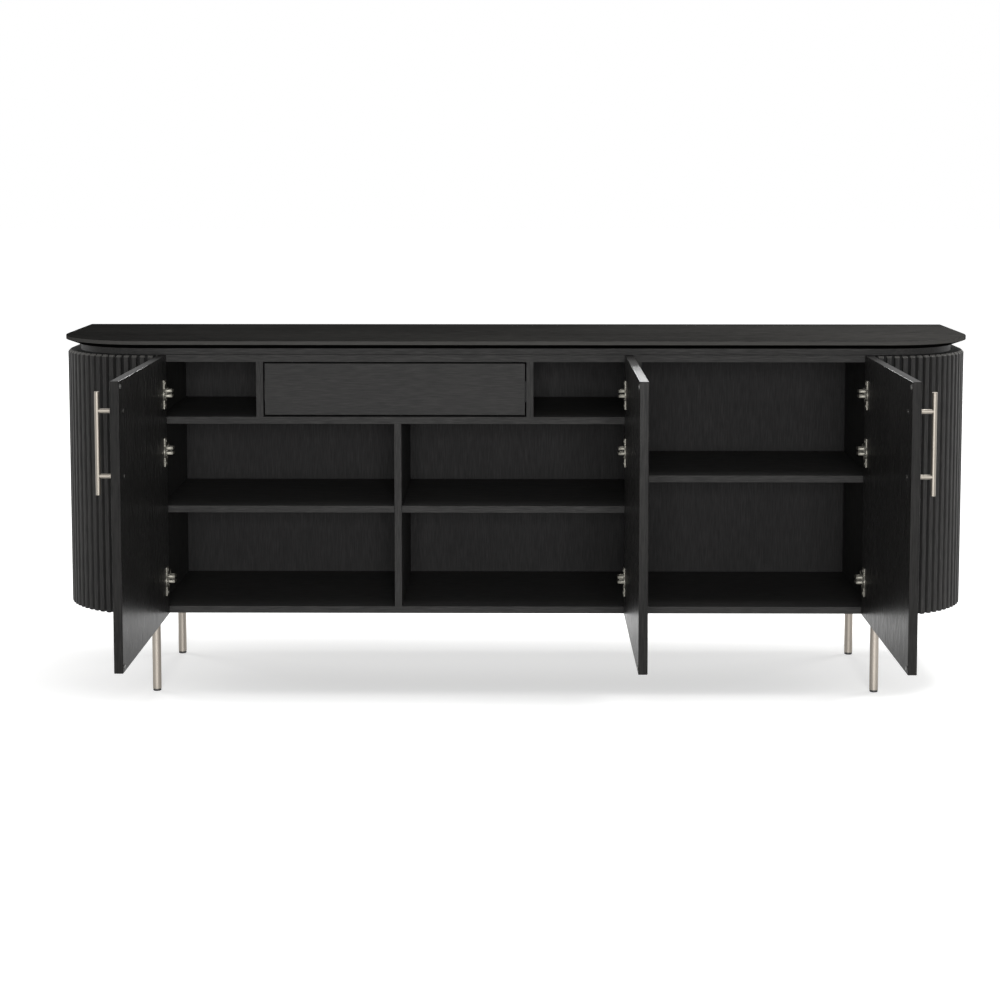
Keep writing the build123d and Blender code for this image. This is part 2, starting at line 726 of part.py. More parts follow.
def handle_posts():
    """Two round posts of a handle, hollowed to the bar and drilled for their screws."""
    y = -DOOR_FACE - HANDLE_PROJECTION
    low = HANDLE_LEVEL - HANDLE_LENGTH / 2
    bar = rod(handle_x(), y, low, low + HANDLE_LENGTH, HANDLE_BAR_RADIUS)
    posts = []
    for z, drill in zip(handle_post_levels(), handle_screw_bars(HANDLE_SCREW_RADIUS)):
        post = rod_along_y(handle_x(), y, -DOOR_FACE, z, HANDLE_POST_RADIUS)
        posts.append(post - bar - drill)
    return posts


def handle_screws():
    """Machine screws of a handle, heads on the inner face of the door."""
    face = -DOOR_FRONT_GAP
    screws = []
    for z, shank in zip(handle_post_levels(), handle_screw_bars(HANDLE_SCREW_RADIUS)):
        head = rod_along_y(handle_x(), face, face + HANDLE_SCREW_HEAD, z, HANDLE_SCREW_HEAD_RADIUS)
        screws.append(shank + head)
    return screws


def bumpers():
    """Soft dots at the free corners of the inner face of a door."""
    face = -DOOR_FRONT_GAP
    x = DOOR_WIDTH - BUMPER_INSET
    levels = (BUMPER_INSET, CARCASS_HEIGHT - BUMPER_INSET)
    return [rod_along_y(x, face, face + BUMPER_HEIGHT, z, BUMPER_RADIUS) for z in levels]


def door_panel(handled):
    """Plain door with eased edges, bored for its cups and for its handle if it has one."""
    slab = block(0, DOOR_WIDTH, -DOOR_FRONT_GAP, -DOOR_FACE, 0, CARCASS_HEIGHT)
    slab = fillet(slab.faces().sort_by(Axis.Y)[0].edges(), DOOR_OUTER_ROUND)
    slab = fillet(slab.faces().sort_by(Axis.Y)[-1].edges(), DOOR_INNER_ROUND)
    for level in HINGE_LEVELS:
        slab = slab - Pos(0, 0, level) * cup_pocket()
        slab = slab - [Pos(0, 0, level) * bar for bar in cup_screw_bars(SCREW_RADIUS)]
    return slab - handle_screw_bars(HANDLE_SCREW_RADIUS) if handled else slab


def door_pieces(handled):
    """Every piece of one door, closed and hinged on its left edge."""
    pieces = {
        "door_panel": [door_panel(handled)],
        "door_hinge_cups": [Pos(0, 0, z) * hinge_cup() for z in HINGE_LEVELS],
        "door_hinge_pins": [Pos(0, 0, z) * hinge_pin() for z in HINGE_LEVELS],
        "door_cup_screws": [Pos(0, 0, z) * screw for z in HINGE_LEVELS for screw in cup_screws()],
        "door_bumpers": bumpers(),
    }
    if handled:
        pieces["door_handle_bar"] = [handle_bar()]
        pieces["door_handle_posts"] = handle_posts()
        pieces["door_handle_screws"] = handle_screws()
    return pieces


def drawer_box_half():
    """Half the outside width of the drawer box, between its runners."""
    return DRAWER_OPENING / 2 - RUNNER_THICKNESS


def drawer_front():
    """Inset drawer front without a handle."""
    half = DRAWER_OPENING / 2 - DRAWER_SIDE_GAP
    y = FRONT_Y + DRAWER_FRONT_RECESS
    board = block(
        DRAWER_CENTRE_X - half,
        DRAWER_CENTRE_X + half,
        y,
        y + DRAWER_FRONT_BOARD,
        FIXED_SHELF_TOP + DRAWER_LOW_GAP,
        INNER_TOP - DRAWER_TOP_GAP,
    )
    return fillet(board.faces().sort_by(Axis.Y)[0].edges(), DOOR_INNER_ROUND)


def drawer_sides():
    """Two sides of the drawer box."""
    boards = []
    for side in (-1, 1):
        face = DRAWER_CENTRE_X + side * drawer_box_half()
        boards.append(
            block(
                face,
                face - side * DRAWER_BOX_BOARD,
                DRAWER_BOX_FRONT_Y,
                DRAWER_BOX_BACK_Y,
                DRAWER_BOX_LOW,
                DRAWER_BOX_TOP,
            )
        )
    return Compound(children=boards)


def drawer_back():
    """Back of the drawer box, between its sides."""
    half = drawer_box_half() - DRAWER_BOX_BOARD
    return block(
        DRAWER_CENTRE_X - half,
        DRAWER_CENTRE_X + half,
        DRAWER_BOX_BACK_Y - DRAWER_BOX_BOARD,
        DRAWER_BOX_BACK_Y,
        DRAWER_BOX_LOW,
        DRAWER_BOX_TOP,
    )


def drawer_bottom():
    """Bottom of the drawer box, inside its sides, front and back."""
    half = drawer_box_half() - DRAWER_BOX_BOARD
    low = DRAWER_BOX_LOW + DRAWER_BOTTOM_LIFT
    return block(
        DRAWER_CENTRE_X - half,
        DRAWER_CENTRE_X + half,
        DRAWER_BOX_FRONT_Y,
        DRAWER_BOX_BACK_Y - DRAWER_BOX_BOARD,
        low,
        low + DRAWER_BOTTOM_BOARD,
    )


def channel(web_x, tip_x, half_height, side, face):
    """One C-shaped runner member; web_x and tip_x are distances from the divider face."""
    y0 = DRAWER_BOX_FRONT_Y + RUNNER_FRONT_GAP
    y1 = DRAWER_BOX_BACK_Y - RUNNER_BACK_GAP
    z = (DRAWER_BOX_LOW + DRAWER_BOX_TOP) / 2
    towards_tip = math.copysign(RUNNER_SHEET, tip_x - web_x)
    web = block(
        face - side * web_x,
        face - side * (web_x + towards_tip),
        y0,
        y1,
        z - half_height,
        z + half_height,
    )
    lips = [
        block(
            face - side * web_x,
            face - side * tip_x,
            y0,
            y1,
            z + i * half_height,
            z + i * (half_height - RUNNER_SHEET),
        )
        for i in (-1, 1)
    ]
    return web + lips[0] + lips[1]


def runner_members(web_x, tip_x, half_height):
    """The matching runner members of both sides."""
    return Compound(
        children=[channel(web_x, tip_x, half_height, side, drawer_wall(side)) for side in (-1, 1)]
    )


def runner_step():
    """Height that each runner member gives up to the one around it."""
    return RUNNER_SHEET + RUNNER_PLAY


def drawer_runner_rails():
    """Outer runner members, fixed to the dividers."""
    tip = RUNNER_THICKNESS - runner_step()
    return runner_members(0, tip, RUNNER_HEIGHT / 2)


def drawer_runner_sliders():
    """Middle runner members, which travel half as far as the drawer."""
    tip = RUNNER_THICKNESS - runner_step()
    return runner_members(runner_step(), tip, RUNNER_HEIGHT / 2 - runner_step())


def drawer_runner_members():
    """Inner runner members, fixed to the sides of the drawer box."""
    tip = 2 * runner_step()
    return runner_members(RUNNER_THICKNESS, tip, RUNNER_HEIGHT / 2 - 2 * runner_step())


def all_nodes():
    """Every named node of the sideboard."""
    divider_left = LOWER_DIVIDER_X - BOARD / 2
    divider_right = LOWER_DIVIDER_X + BOARD / 2
    nodes = {
        "top_slab": top_slab(),
        "top_spacer": top_spacer(),
        "carcass_top_panel": carcass_top_panel(),
        "carcass_bottom_panel": carcass_bottom_panel(),
        "left_side_panel": left_side_panel(),
        "right_side_panel": right_side_panel(),
        "bay_partition": bay_partition(),
        "back_panel": back_panel(),
        "left_end_core": end_core(-1),
        "right_end_core": end_core(1),
        "left_end_slats": end_slats(-1),
        "right_end_slats": end_slats(1),
        "fixed_shelf": fixed_shelf(),
        "drawer_dividers": drawer_dividers(),
        "lower_divider": lower_divider(),
        "front_legs": legs(0),
        "back_legs": legs(1),
        "leg_feet": leg_feet(),
        "leg_plates": leg_plates(),
        "leg_plate_screws": leg_plate_screws(),
        "shelf_pins": shelf_pins(),
        "hinge_plates": hinge_plates(),
        "hinge_plate_screws": hinge_plate_screws(),
        "hinge_arms": hinge_arms(),
        "drawer_runner_rails": drawer_runner_rails(),
        "drawer_runner_sliders": drawer_runner_sliders(),
        "drawer_runner_members": drawer_runner_members(),
        "drawer_front": drawer_front(),
        "drawer_sides": drawer_sides(),
        "drawer_back": drawer_back(),
        "drawer_bottom": drawer_bottom(),
        "left_bay_left_shelf": loose_shelf(-WALL_X, divider_left, LEFT_BAY_SHELF_LEVEL),
        "left_bay_right_shelf": loose_shelf(divider_right, PARTITION_X, LEFT_BAY_SHELF_LEVEL),
        "right_bay_shelf": loose_shelf(PARTITION_X + BOARD, WALL_X, RIGHT_BAY_SHELF_LEVEL),
    }
    for door in hinge_edges():
        for name, solids in door_pieces(door in HANDLED_DOORS).items():
            nodes[f"{door}_{name}"] = Compound(children=[open_door(solid, door) for solid in solids])
    return nodes


os.makedirs("parts", exist_ok=True)
for node_name, node_shape in all_nodes().items():
    export_step(node_shape, f"parts/{node_name}.step")
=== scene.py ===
"""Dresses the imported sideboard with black-stained oak and nickel, and sets its studio."""

from __future__ import annotations

import json
import logging
import math
from collections import defaultdict
from collections.abc import Callable
from dataclasses import dataclass, field, replace
from enum import Enum

import bmesh
import bpy
from mathutils import Matrix, Vector

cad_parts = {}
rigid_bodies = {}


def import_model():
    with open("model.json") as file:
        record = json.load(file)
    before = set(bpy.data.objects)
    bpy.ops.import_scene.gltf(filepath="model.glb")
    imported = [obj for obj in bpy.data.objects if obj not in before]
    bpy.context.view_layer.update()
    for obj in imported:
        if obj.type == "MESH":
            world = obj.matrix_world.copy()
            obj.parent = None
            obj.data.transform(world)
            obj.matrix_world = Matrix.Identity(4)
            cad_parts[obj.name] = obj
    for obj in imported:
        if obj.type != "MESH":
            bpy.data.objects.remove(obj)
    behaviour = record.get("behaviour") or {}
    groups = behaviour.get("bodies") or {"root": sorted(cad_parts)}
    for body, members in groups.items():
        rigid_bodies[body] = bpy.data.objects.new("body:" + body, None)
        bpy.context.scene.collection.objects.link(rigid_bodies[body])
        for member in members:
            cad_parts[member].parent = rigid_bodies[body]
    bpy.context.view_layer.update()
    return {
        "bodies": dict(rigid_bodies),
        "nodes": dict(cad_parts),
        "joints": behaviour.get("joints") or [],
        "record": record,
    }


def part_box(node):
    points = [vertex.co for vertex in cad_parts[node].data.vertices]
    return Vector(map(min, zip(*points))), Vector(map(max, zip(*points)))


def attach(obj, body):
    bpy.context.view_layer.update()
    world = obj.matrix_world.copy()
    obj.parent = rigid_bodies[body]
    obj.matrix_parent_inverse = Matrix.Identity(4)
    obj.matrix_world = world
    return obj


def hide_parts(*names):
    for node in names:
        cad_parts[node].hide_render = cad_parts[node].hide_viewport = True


LOG = logging.getLogger("sideboard")
MM = 0.001
NEAR = 0.01 * MM
DOORS = ("left", "middle", "right")
HANDLED_DOORS = ("left", "right")


def linear(hex_colour: str) -> tuple[float, float, float, float]:
    """Turn an sRGB hex colour into the linear colour that a shader takes.

    Args:
        hex_colour: Six hex digits, red first.

    Returns:
        Linear red, green, blue and an alpha of one.
    """
    parts = [int(hex_colour[i : i + 2], 16) / 255 for i in (0, 2, 4)]
    parts = [c / 12.92 if c <= 0.04045 else ((c + 0.055) / 1.055) ** 2.4 for c in parts]
    return (*parts, 1.0)


def add_node(
    tree: bpy.types.NodeTree,
    kind: str,
    values: dict | None = None,
    links: dict | None = None,
    **settings: object,
) -> bpy.types.Node:
    """Add one node with its settings, socket values and links.

    Args:
        tree: Node tree that takes the node.
        kind: Node type.
        values: Input socket names or numbers with their values.
        links: Input socket names or numbers with the output sockets that feed them.
        **settings: Attributes of the node.

    Returns:
        The new node.
    """
    node = tree.nodes.new(kind)
    for name, value in settings.items():
        setattr(node, name, value)
    for name, value in (values or {}).items():
        node.inputs[name].default_value = value
    for name, source in (links or {}).items():
        tree.links.new(source, node.inputs[name])
    return node


def new_material(name: str) -> tuple[bpy.types.Material, bpy.types.NodeTree, bpy.types.Node]:
    """Make an empty material with a Principled shader on its output.

    Args:
        name: Name of the finish.

    Returns:
        The material, its node tree and the shader node.
    """
    material = bpy.data.materials.new(name)
    material.use_nodes = True
    tree = material.node_tree
    tree.nodes.clear()
    shader = add_node(tree, "ShaderNodeBsdfPrincipled")
    add_node(tree, "ShaderNodeOutputMaterial", links={"Surface": shader.outputs["BSDF"]})
    return material, tree, shader


def link_surface(
    tree: bpy.types.NodeTree,
    shader: bpy.types.Node,
    colour: bpy.types.Node,
    shine: bpy.types.Node,
    relief: bpy.types.Node,
) -> None:
    """Feed a shader with its colour, roughness and relief.

    Args:
        tree: Node tree of the finish.
        shader: Principled shader.
        colour: Node whose Result is the base colour.
        shine: Node whose Result is the roughness.
        relief: Bump node.
    """
    tree.links.new(colour.outputs["Result"], shader.inputs["Base Color"])
    tree.links.new(shine.outputs["Result"], shader.inputs["Roughness"])
    tree.links.new(relief.outputs["Normal"], shader.inputs["Normal"])


class Axis(Enum):
    """Direction of grain, brushing or a screw, with the turn that lays local X along it."""

    WIDTH = (0.0, 0.0, 0.0)
    HEIGHT = (0.0, 90.0, 0.0)

    @property
    def turn(self) -> tuple[float, float, float]:
        """Mapping rotation in radians."""
        return tuple(math.radians(a) for a in self.value)

    @property
    def index(self) -> int:
        """Number of the axis in a point."""
        return 0 if self is Axis.WIDTH else 2


class Item(Enum):
    """Part of a mesh that is selected in edit mode."""

    EDGE = "EDGE"
    FACE = "FACE"


def stretched_coordinates(
    tree: bpy.types.NodeTree, axis: Axis, length_mm: float, width_mm: float, offset: float
) -> bpy.types.NodeSocket:
    """Object coordinates counted in features that are long along one axis.

    Args:
        tree: Node tree that takes the nodes.
        axis: Direction of the long features.
        length_mm: Length of a feature along the axis.
        width_mm: Width of a feature across it.
        offset: Shift of the pattern, so that boards differ.

    Returns:
        Socket with the coordinates.
    """
    coordinates = add_node(tree, "ShaderNodeTexCoord")
    turned = add_node(
        tree,
        "ShaderNodeMapping",
        {"Rotation": axis.turn},
        {"Vector": coordinates.outputs["Object"]},
    )
    scaled = add_node(
        tree,
        "ShaderNodeMapping",
        {
            "Location": (offset, 1.7 * offset, 0.6 * offset),
            "Scale": (1 / (length_mm * MM), 1 / (width_mm * MM), 1 / (width_mm * MM)),
        },
        {"Vector": turned.outputs["Vector"]},
    )
    return scaled.outputs["Vector"]


@dataclass(frozen=True)
class BlackOak:
    """Oak veneer, brushed, stained black and sealed with a flat lacquer.

    The stain leaves the early-wood pores darkest, and the harder late wood between
    them a little greyer, so the grain shows as fine streaks more than as colour.
    Heights are in metres above the floor, and a part without its tone has none. The paler tones on the
    slats' tops and the slab's edge are painted highlights, and the near-black tone under the slab's
    edge is painted shade.
    """

    name: str
    axis: Axis
    offset: float = 0.0
    dark: str = "202020"
    pale: str = "3b3a39"
    ring_mm: float = 26.0
    rings_per_wave: float = 4.0
    ring_count: float = 14.0
    ring_share: float = 0.45
    figure_mm: float = 700.0
    pore_mm: float = 1.6
    pore_length_mm: float = 38.0
    cloud_mm: float = 130.0
    cloud_length_mm: float = 420.0
    cloud_shift: float = 3.0
    cloud_share: float = 0.35
    roughness: float = 0.62
    specular: float = 0.12
    relief_mm: float = 0.16
    cap_highlight: str = ""
    cap_highlight_above: float = 0.0
    cap_highlight_fade: float = 1.5 * MM
    edge: str = ""
    edge_highlight_below: float = 0.0
    edge_highlight_share: float = 0.6
    under: str = ""
    undercut_shade_below: float = 0.0
    highlight_and_shade_fade: float = 0.5 * MM
    flat_above: float = 0.0
    flat_fade: float = 0.1 * MM
    flat_roughness: float = 0.42

    def material(self) -> bpy.types.Material:
        """Build the finish."""
        material, tree, shader = new_material(self.name)
        # Growth rings: level lines of a slow noise give the long arches of sawn oak
        figure = add_node(
            tree,
            "ShaderNodeTexNoise",
            {"Scale": 1.0, "Detail": 3.0, "Roughness": 0.45, "Distortion": 0.3},
            {"Vector": self._along(tree, self.figure_mm, self.ring_mm * self.rings_per_wave)},
        )
        counted = add_node(
            tree,
            "ShaderNodeMath",
            {1: self.ring_count},
            {0: figure.outputs["Fac"]},
            operation="MULTIPLY",
        )
        rings = add_node(
            tree, "ShaderNodeMath", {1: 0.5}, {0: counted.outputs[0]}, operation="PINGPONG"
        )
        # Pores are a quarter of a millimetre wide; they are drawn wider so that they show
        pores = add_node(
            tree,
            "ShaderNodeTexNoise",
            {"Scale": 1.0, "Detail": 2.0, "Roughness": 0.6},
            {"Vector": self._along(tree, self.pore_length_mm, self.pore_mm)},
        )
        open_grain = add_node(
            tree,
            "ShaderNodeMapRange",
            {"From Min": 0.38, "From Max": 0.62},
            {"Value": pores.outputs["Fac"]},
        )
        clouds = add_node(
            tree,
            "ShaderNodeTexNoise",
            {"Scale": 1.0, "Detail": 1.0},
            {
                "Vector": self._along(
                    tree, self.cloud_length_mm, self.cloud_mm, self.cloud_shift
                )
            },
        )
        rings_and_pores = add_node(
            tree,
            "ShaderNodeMath",
            links={0: rings.outputs[0], 1: open_grain.outputs["Result"]},
            operation="MULTIPLY",
        )
        grain = add_node(
            tree,
            "ShaderNodeMix",
            {"Factor": self.ring_share},
            {"A": open_grain.outputs["Result"], "B": rings_and_pores.outputs[0]},
            data_type="FLOAT",
        )
        tone = add_node(
            tree,
            "ShaderNodeMix",
            {"Factor": self.cloud_share},
            {"A": grain.outputs["Result"], "B": clouds.outputs["Fac"]},
            data_type="FLOAT",
        )
        colour = add_node(
            tree,
            "ShaderNodeMix",
            {"A": linear(self.dark), "B": linear(self.pale)},
            {"Factor": tone.outputs["Result"]},
            data_type="RGBA",
        )
        # The paler tones on the slats' bevelled tops and on the slab's edge are painted highlights,
        # and the near-black tone on the slab's undercut is painted shade
        if self.cap_highlight:
            part = self._passed(tree, self.cap_highlight_above, self.cap_highlight_fade)
            colour = self._toned(tree, colour, self.cap_highlight, part)
        if self.edge:
            part = self._passed(tree, self.edge_highlight_below, -self.highlight_and_shade_fade, self.edge_highlight_share)
            colour = self._toned(tree, colour, self.edge, part)
        if self.under:
            part = self._passed(tree, self.undercut_shade_below, -self.highlight_and_shade_fade)
            colour = self._toned(tree, colour, self.under, part)
        shine = add_node(
            tree,
            "ShaderNodeMapRange",
            {"To Min": self.roughness + 0.08, "To Max": self.roughness - 0.05},
            {"Value": grain.outputs["Result"]},
        )
        if self.flat_above:
            # The edge band is sanded, so it is duller than the polished faces
            shine = add_node(
                tree,
                "ShaderNodeMix",
                {"B": self.flat_roughness},
                {
                    "Factor": self._passed(tree, self.flat_above, self.flat_fade),
                    "A": shine.outputs["Result"],
                },
                data_type="FLOAT",
            )
        relief = add_node(
            tree,
            "ShaderNodeBump",
            {"Strength": 0.5, "Distance": self.relief_mm * MM},
            {"Height": grain.outputs["Result"]},
        )
        shader.inputs["Specular IOR Level"].default_value = self.specular
        link_surface(tree, shader, colour, shine, relief)
        return material

    def _along(
        self, tree: bpy.types.NodeTree, length_mm: float, width_mm: float, shift: float = 0.0
    ) -> bpy.types.NodeSocket:
        """Coordinates counted in features that follow the grain of this board.

        Args:
            tree: Node tree of the finish.
            length_mm: Length of a feature along the grain.
            width_mm: Width of a feature across it.
            shift: Shift of this pattern against the board's others.

        Returns:
            Socket with the coordinates.
        """
        return stretched_coordinates(tree, self.axis, length_mm, width_mm, self.offset + shift)

    def _passed(
        self, tree: bpy.types.NodeTree, start: float, fade: float, most: float = 1.0
    ) -> bpy.types.NodeSocket:
        """How far a point lies past one height.

        Args:
            tree: Node tree of the finish.
            start: Height at which the factor is 0.
            fade: Rise over which it grows, or fall where it is negative.
            most: The full factor.

        Returns:
            Socket with the factor.
        """
        place = add_node(tree, "ShaderNodeTexCoord")
        height = add_node(tree, "ShaderNodeSeparateXYZ", links={0: place.outputs["Object"]})
        passed = add_node(
            tree,
            "ShaderNodeMapRange",
            {"From Min": start, "From Max": start + fade, "To Max": most},
            {"Value": height.outputs["Z"]},
        )
        return passed.outputs["Result"]

    def _toned(
        self, tree: bpy.types.NodeTree, colour: bpy.types.Node, tone: str, part: bpy.types.NodeSocket
    ) -> bpy.types.Node:
        """Lay a painted highlight or painted shade over part of the lacquer.

        Args:
            tree: Node tree of the finish.
            colour: Node with the colour of the whole lacquer.
            tone: Hex colour of the part.
            part: 1 where the tone is full.

        Returns:
            The mix node.
        """
        return add_node(
            tree,
            "ShaderNodeMix",
            {"B": linear(tone)},
            {"Factor": part, "A": colour.outputs["Result"]},
            data_type="RGBA",
        )


@dataclass(frozen=True)
class BrushedNickel:
    """Nickel plate over steel, brushed along one axis: warm grey, drawn-out highlights."""

    name: str
    axis: Axis
    dark: str = "78736c"
    pale: str = "958f86"
    line_mm: float = 0.7
    line_length_mm: float = 45.0
    roughness: float = 0.52
    relief_mm: float = 0.02

    def material(self) -> bpy.types.Material:
        """Build the finish."""
        material, tree, shader = new_material(self.name)
        # The brush lines are a tenth of a millimetre wide; they are drawn wider so that they show
        lines = add_node(
            tree,
            "ShaderNodeTexNoise",
            {"Scale": 1.0, "Detail": 3.0, "Roughness": 0.7},
            {"Vector": stretched_coordinates(tree, self.axis, self.line_length_mm, self.line_mm, 0.0)},
        )
        colour = add_node(
            tree,
            "ShaderNodeMix",
            {"A": linear(self.dark), "B": linear(self.pale)},
            {"Factor": lines.outputs["Fac"]},
            data_type="RGBA",
        )
        shine = add_node(
            tree,
            "ShaderNodeMapRange",
            {"To Min": self.roughness - 0.08, "To Max": self.roughness + 0.1},
            {"Value": lines.outputs["Fac"]},
        )
        relief = add_node(
            tree,
            "ShaderNodeBump",
            {"Strength": 0.4, "Distance": self.relief_mm * MM},
            {"Height": lines.outputs["Fac"]},
        )
        shader.inputs["Metallic"].default_value = 1.0
        link_surface(tree, shader, colour, shine, relief)
        return material


@dataclass(frozen=True)
class MottledFinish:
    """Finish whose colour, gloss and relief vary with one even grain.

    It covers plated and coated steel, moulded plastic, pressed foil and soft clear dots.
    """

    name: str
    dark: str
    pale: str
    grain_mm: float
    roughness: float
    spread: float
    relief_mm: float
    metallic: float = 0.0
    transmission: float = 0.0
    ior: float = 1.5
    crystals: bool = False

    def material(self) -> bpy.types.Material:
        """Build the finish."""
        material, tree, shader = new_material(self.name)
        where = stretched_coordinates(tree, Axis.WIDTH, self.grain_mm, self.grain_mm, 0.0)
        if self.crystals:
            grain = add_node(tree, "ShaderNodeTexVoronoi", {"Scale": 1.0}, {"Vector": where})
            value = grain.outputs["Distance"]
        else:
            grain = add_node(
                tree, "ShaderNodeTexNoise", {"Scale": 1.0, "Detail": 3.0}, {"Vector": where}
            )
            value = grain.outputs["Fac"]
        colour = add_node(
            tree,
            "ShaderNodeMix",
            {"A": linear(self.dark), "B": linear(self.pale)},
            {"Factor": value},
            data_type="RGBA",
        )
        shine = add_node(
            tree,
            "ShaderNodeMapRange",
            {"To Min": self.roughness - self.spread, "To Max": self.roughness + self.spread},
            {"Value": value},
        )
        relief = add_node(
            tree,
            "ShaderNodeBump",
            {"Strength": 0.4, "Distance": self.relief_mm * MM},
            {"Height": value},
        )
        shader.inputs["Metallic"].default_value = self.metallic
        shader.inputs["Transmission Weight"].default_value = self.transmission
        if not self.metallic:
            shader.inputs["IOR"].default_value = self.ior
        link_surface(tree, shader, colour, shine, relief)
        return material


@dataclass
class Finishes:
    """Every finish of the sideboard, made once and shared."""

    slat_top: float
    slab_top: float
    door_top: float
    slat_bevel: float = 5.0 * MM
    slab_round: float = 0.4 * MM
    slab_edge: float = 8.0 * MM
    door_band: float = 0.3 * MM
    slab: BlackOak = BlackOak(
        "black_oak_slab",
        Axis.WIDTH,
        1.0,
        dark="1a1a1a",
        pale="454442",
        roughness=0.86,
        specular=0.0,
        # paler edge band: a painted highlight
        edge="4e4d4b",
        # near-black undercut below the edge: painted shade
        under="0a0a0a",
    )
    across: BlackOak = BlackOak("black_oak_across", Axis.WIDTH, 5.0)
    drawer_face: BlackOak = BlackOak(
        "black_oak_drawer_face", Axis.WIDTH, 9.0, dark="272727", pale="353433", relief_mm=0.08
    )
    back: BlackOak = BlackOak(
        "black_oak_back", Axis.HEIGHT, 13.0, dark="131313", pale="201f1f", relief_mm=0.1
    )
    upright: BlackOak = BlackOak("black_oak_upright", Axis.HEIGHT, 2.0)
    # The paler tone on the slats' bevelled tops is a painted highlight
    slats: BlackOak = BlackOak("black_oak_slats", Axis.HEIGHT, 21.0, ring_mm=6.0, cap_highlight="565553")
    doors: BlackOak = BlackOak(
        "black_oak_doors",
        Axis.HEIGHT,
        31.0,
        dark="131313",
        pale="353433",
        roughness=0.26,
        specular=0.05,
        relief_mm=0.08,
    )
    # The core seen in the grooves is darker than the other oak: painted shade between the slats
    grooves: BlackOak = BlackOak("black_oak_grooves", Axis.HEIGHT, 41.0, dark="0f0f0f", pale="1b1b1b")
    bars: BrushedNickel = BrushedNickel("brushed_nickel_bars", Axis.HEIGHT)
    legs: BrushedNickel = BrushedNickel(
        "brushed_nickel_legs", Axis.HEIGHT, dark="847e77", pale="a29b92"
    )
    posts: BrushedNickel = BrushedNickel("brushed_nickel_posts", Axis.WIDTH)
    # Pressed steel, bright nickel plate: faint waviness from the press
    hinge_steel: MottledFinish = MottledFinish(
        "nickel_plated_steel", "5e5c56", "797770", 3.0, 0.48, 0.06, 0.03, metallic=1.0
    )
    # Rolled steel under a black dip coat: the zinc crystals still show through it faintly
    runner_steel: MottledFinish = MottledFinish(
        "black_coated_steel", "121213", "1e1e1f", 4.0, 0.66, 0.08, 0.02, crystals=True
    )
    # Black-oxide steel: a dark grey metal with a dull sheen
    dark_screw: MottledFinish = MottledFinish(
        "black_oxide_steel", "2a2a29", "3e3d3b", 1.5, 0.42, 0.06, 0.02, metallic=1.0
    )
    # Moulded ABS with a spark-eroded grain
    foot_plastic: MottledFinish = MottledFinish(
        "black_moulded_plastic", "141414", "222222", 0.9, 0.5, 0.08, 0.05
    )
    # Soft clear silicone dots, slightly milky
    bumper: MottledFinish = MottledFinish(
        "clear_silicone", "6c6c6a", "868684", 1.5, 0.3, 0.05, 0.02, transmission=0.5, ior=1.41
    )
    # Thin black foil on the drawer box boards, with a fine pressed grain
    drawer_foil: MottledFinish = MottledFinish(
        "black_foil_board", "1b1b1b", "282727", 1.4, 0.55, 0.06, 0.06
    )
    made: dict = field(default_factory=dict)

    def __post_init__(self) -> None:
        """Set where the painted highlights on the slats' bevels and the slab's edge, the painted shade
        on its undercut and the doors' bands begin.
        """
        self.slats = replace(self.slats, cap_highlight_above=self.slat_top - self.slat_bevel)
        self.slab = replace(
            self.slab,
            edge_highlight_below=self.slab_top - self.slab_round,
            undercut_shade_below=self.slab_top - self.slab_edge,
        )
        self.doors = replace(self.doors, flat_above=self.door_top - self.door_band)

    def get(self, name: str) -> bpy.types.Material:
        """Material of one finish.

        Args:
            name: Field that holds the finish.

        Returns:
            The material, built on the first call.
        """
        if name not in self.made:
            self.made[name] = getattr(self, name).material()
        return self.made[name]


def dress(node: bpy.types.Object, material: bpy.types.Material) -> None:
    """Give a CAD node its finish.

    Args:
        node: Object of the node.
        material: Finish for all of its slots.
    """
    if not node.material_slots:
        node.data.materials.append(material)
    for slot in node.material_slots:
        slot.material = material


@dataclass
class DressedNodes:
    """Nodes that keep their CAD shape and get their finish here."""

    frame: dict
    finishes: Finishes

    def plan(self) -> dict[str, str]:
        """Finish of every node, by node name."""
        raise NotImplementedError

    def dress(self) -> None:
        """Give every node its finish."""
        for name, finish in self.plan().items():
            dress(self.frame["nodes"][name], self.finishes.get(finish))
            LOG.info("%s: %s", name, finish)


@dataclass
class OakCarcass(DressedNodes):
    """Boards, ends, doors and shelves."""

    across: tuple = (
        "top_spacer",
        "carcass_top_panel",
        "carcass_bottom_panel",
        "fixed_shelf",
        "left_bay_left_shelf",
        "left_bay_right_shelf",
        "right_bay_shelf",
    )
    upright: tuple = (
        "left_side_panel",
        "right_side_panel",
        "bay_partition",
        "drawer_dividers",
        "lower_divider",
    )
    slats: tuple = ("left_end_slats", "right_end_slats")
    cores: tuple = ("left_end_core", "right_end_core")
    drawer_box: tuple = ("drawer_sides", "drawer_back", "drawer_bottom")

    def plan(self) -> dict[str, str]:
        """Finish of every wooden node, by node name."""
        finish = {"top_slab": "slab", "back_panel": "back", "drawer_front": "drawer_face"}
        for names, key in (
            (self.across, "across"),
            (self.upright, "upright"),
            (self.slats, "slats"),
            (self.cores, "grooves"),
            (self.drawer_box, "drawer_foil"),
            (tuple(f"{door}_door_panel" for door in DOORS), "doors"),
        ):
            finish.update({name: key for name in names})
        return finish


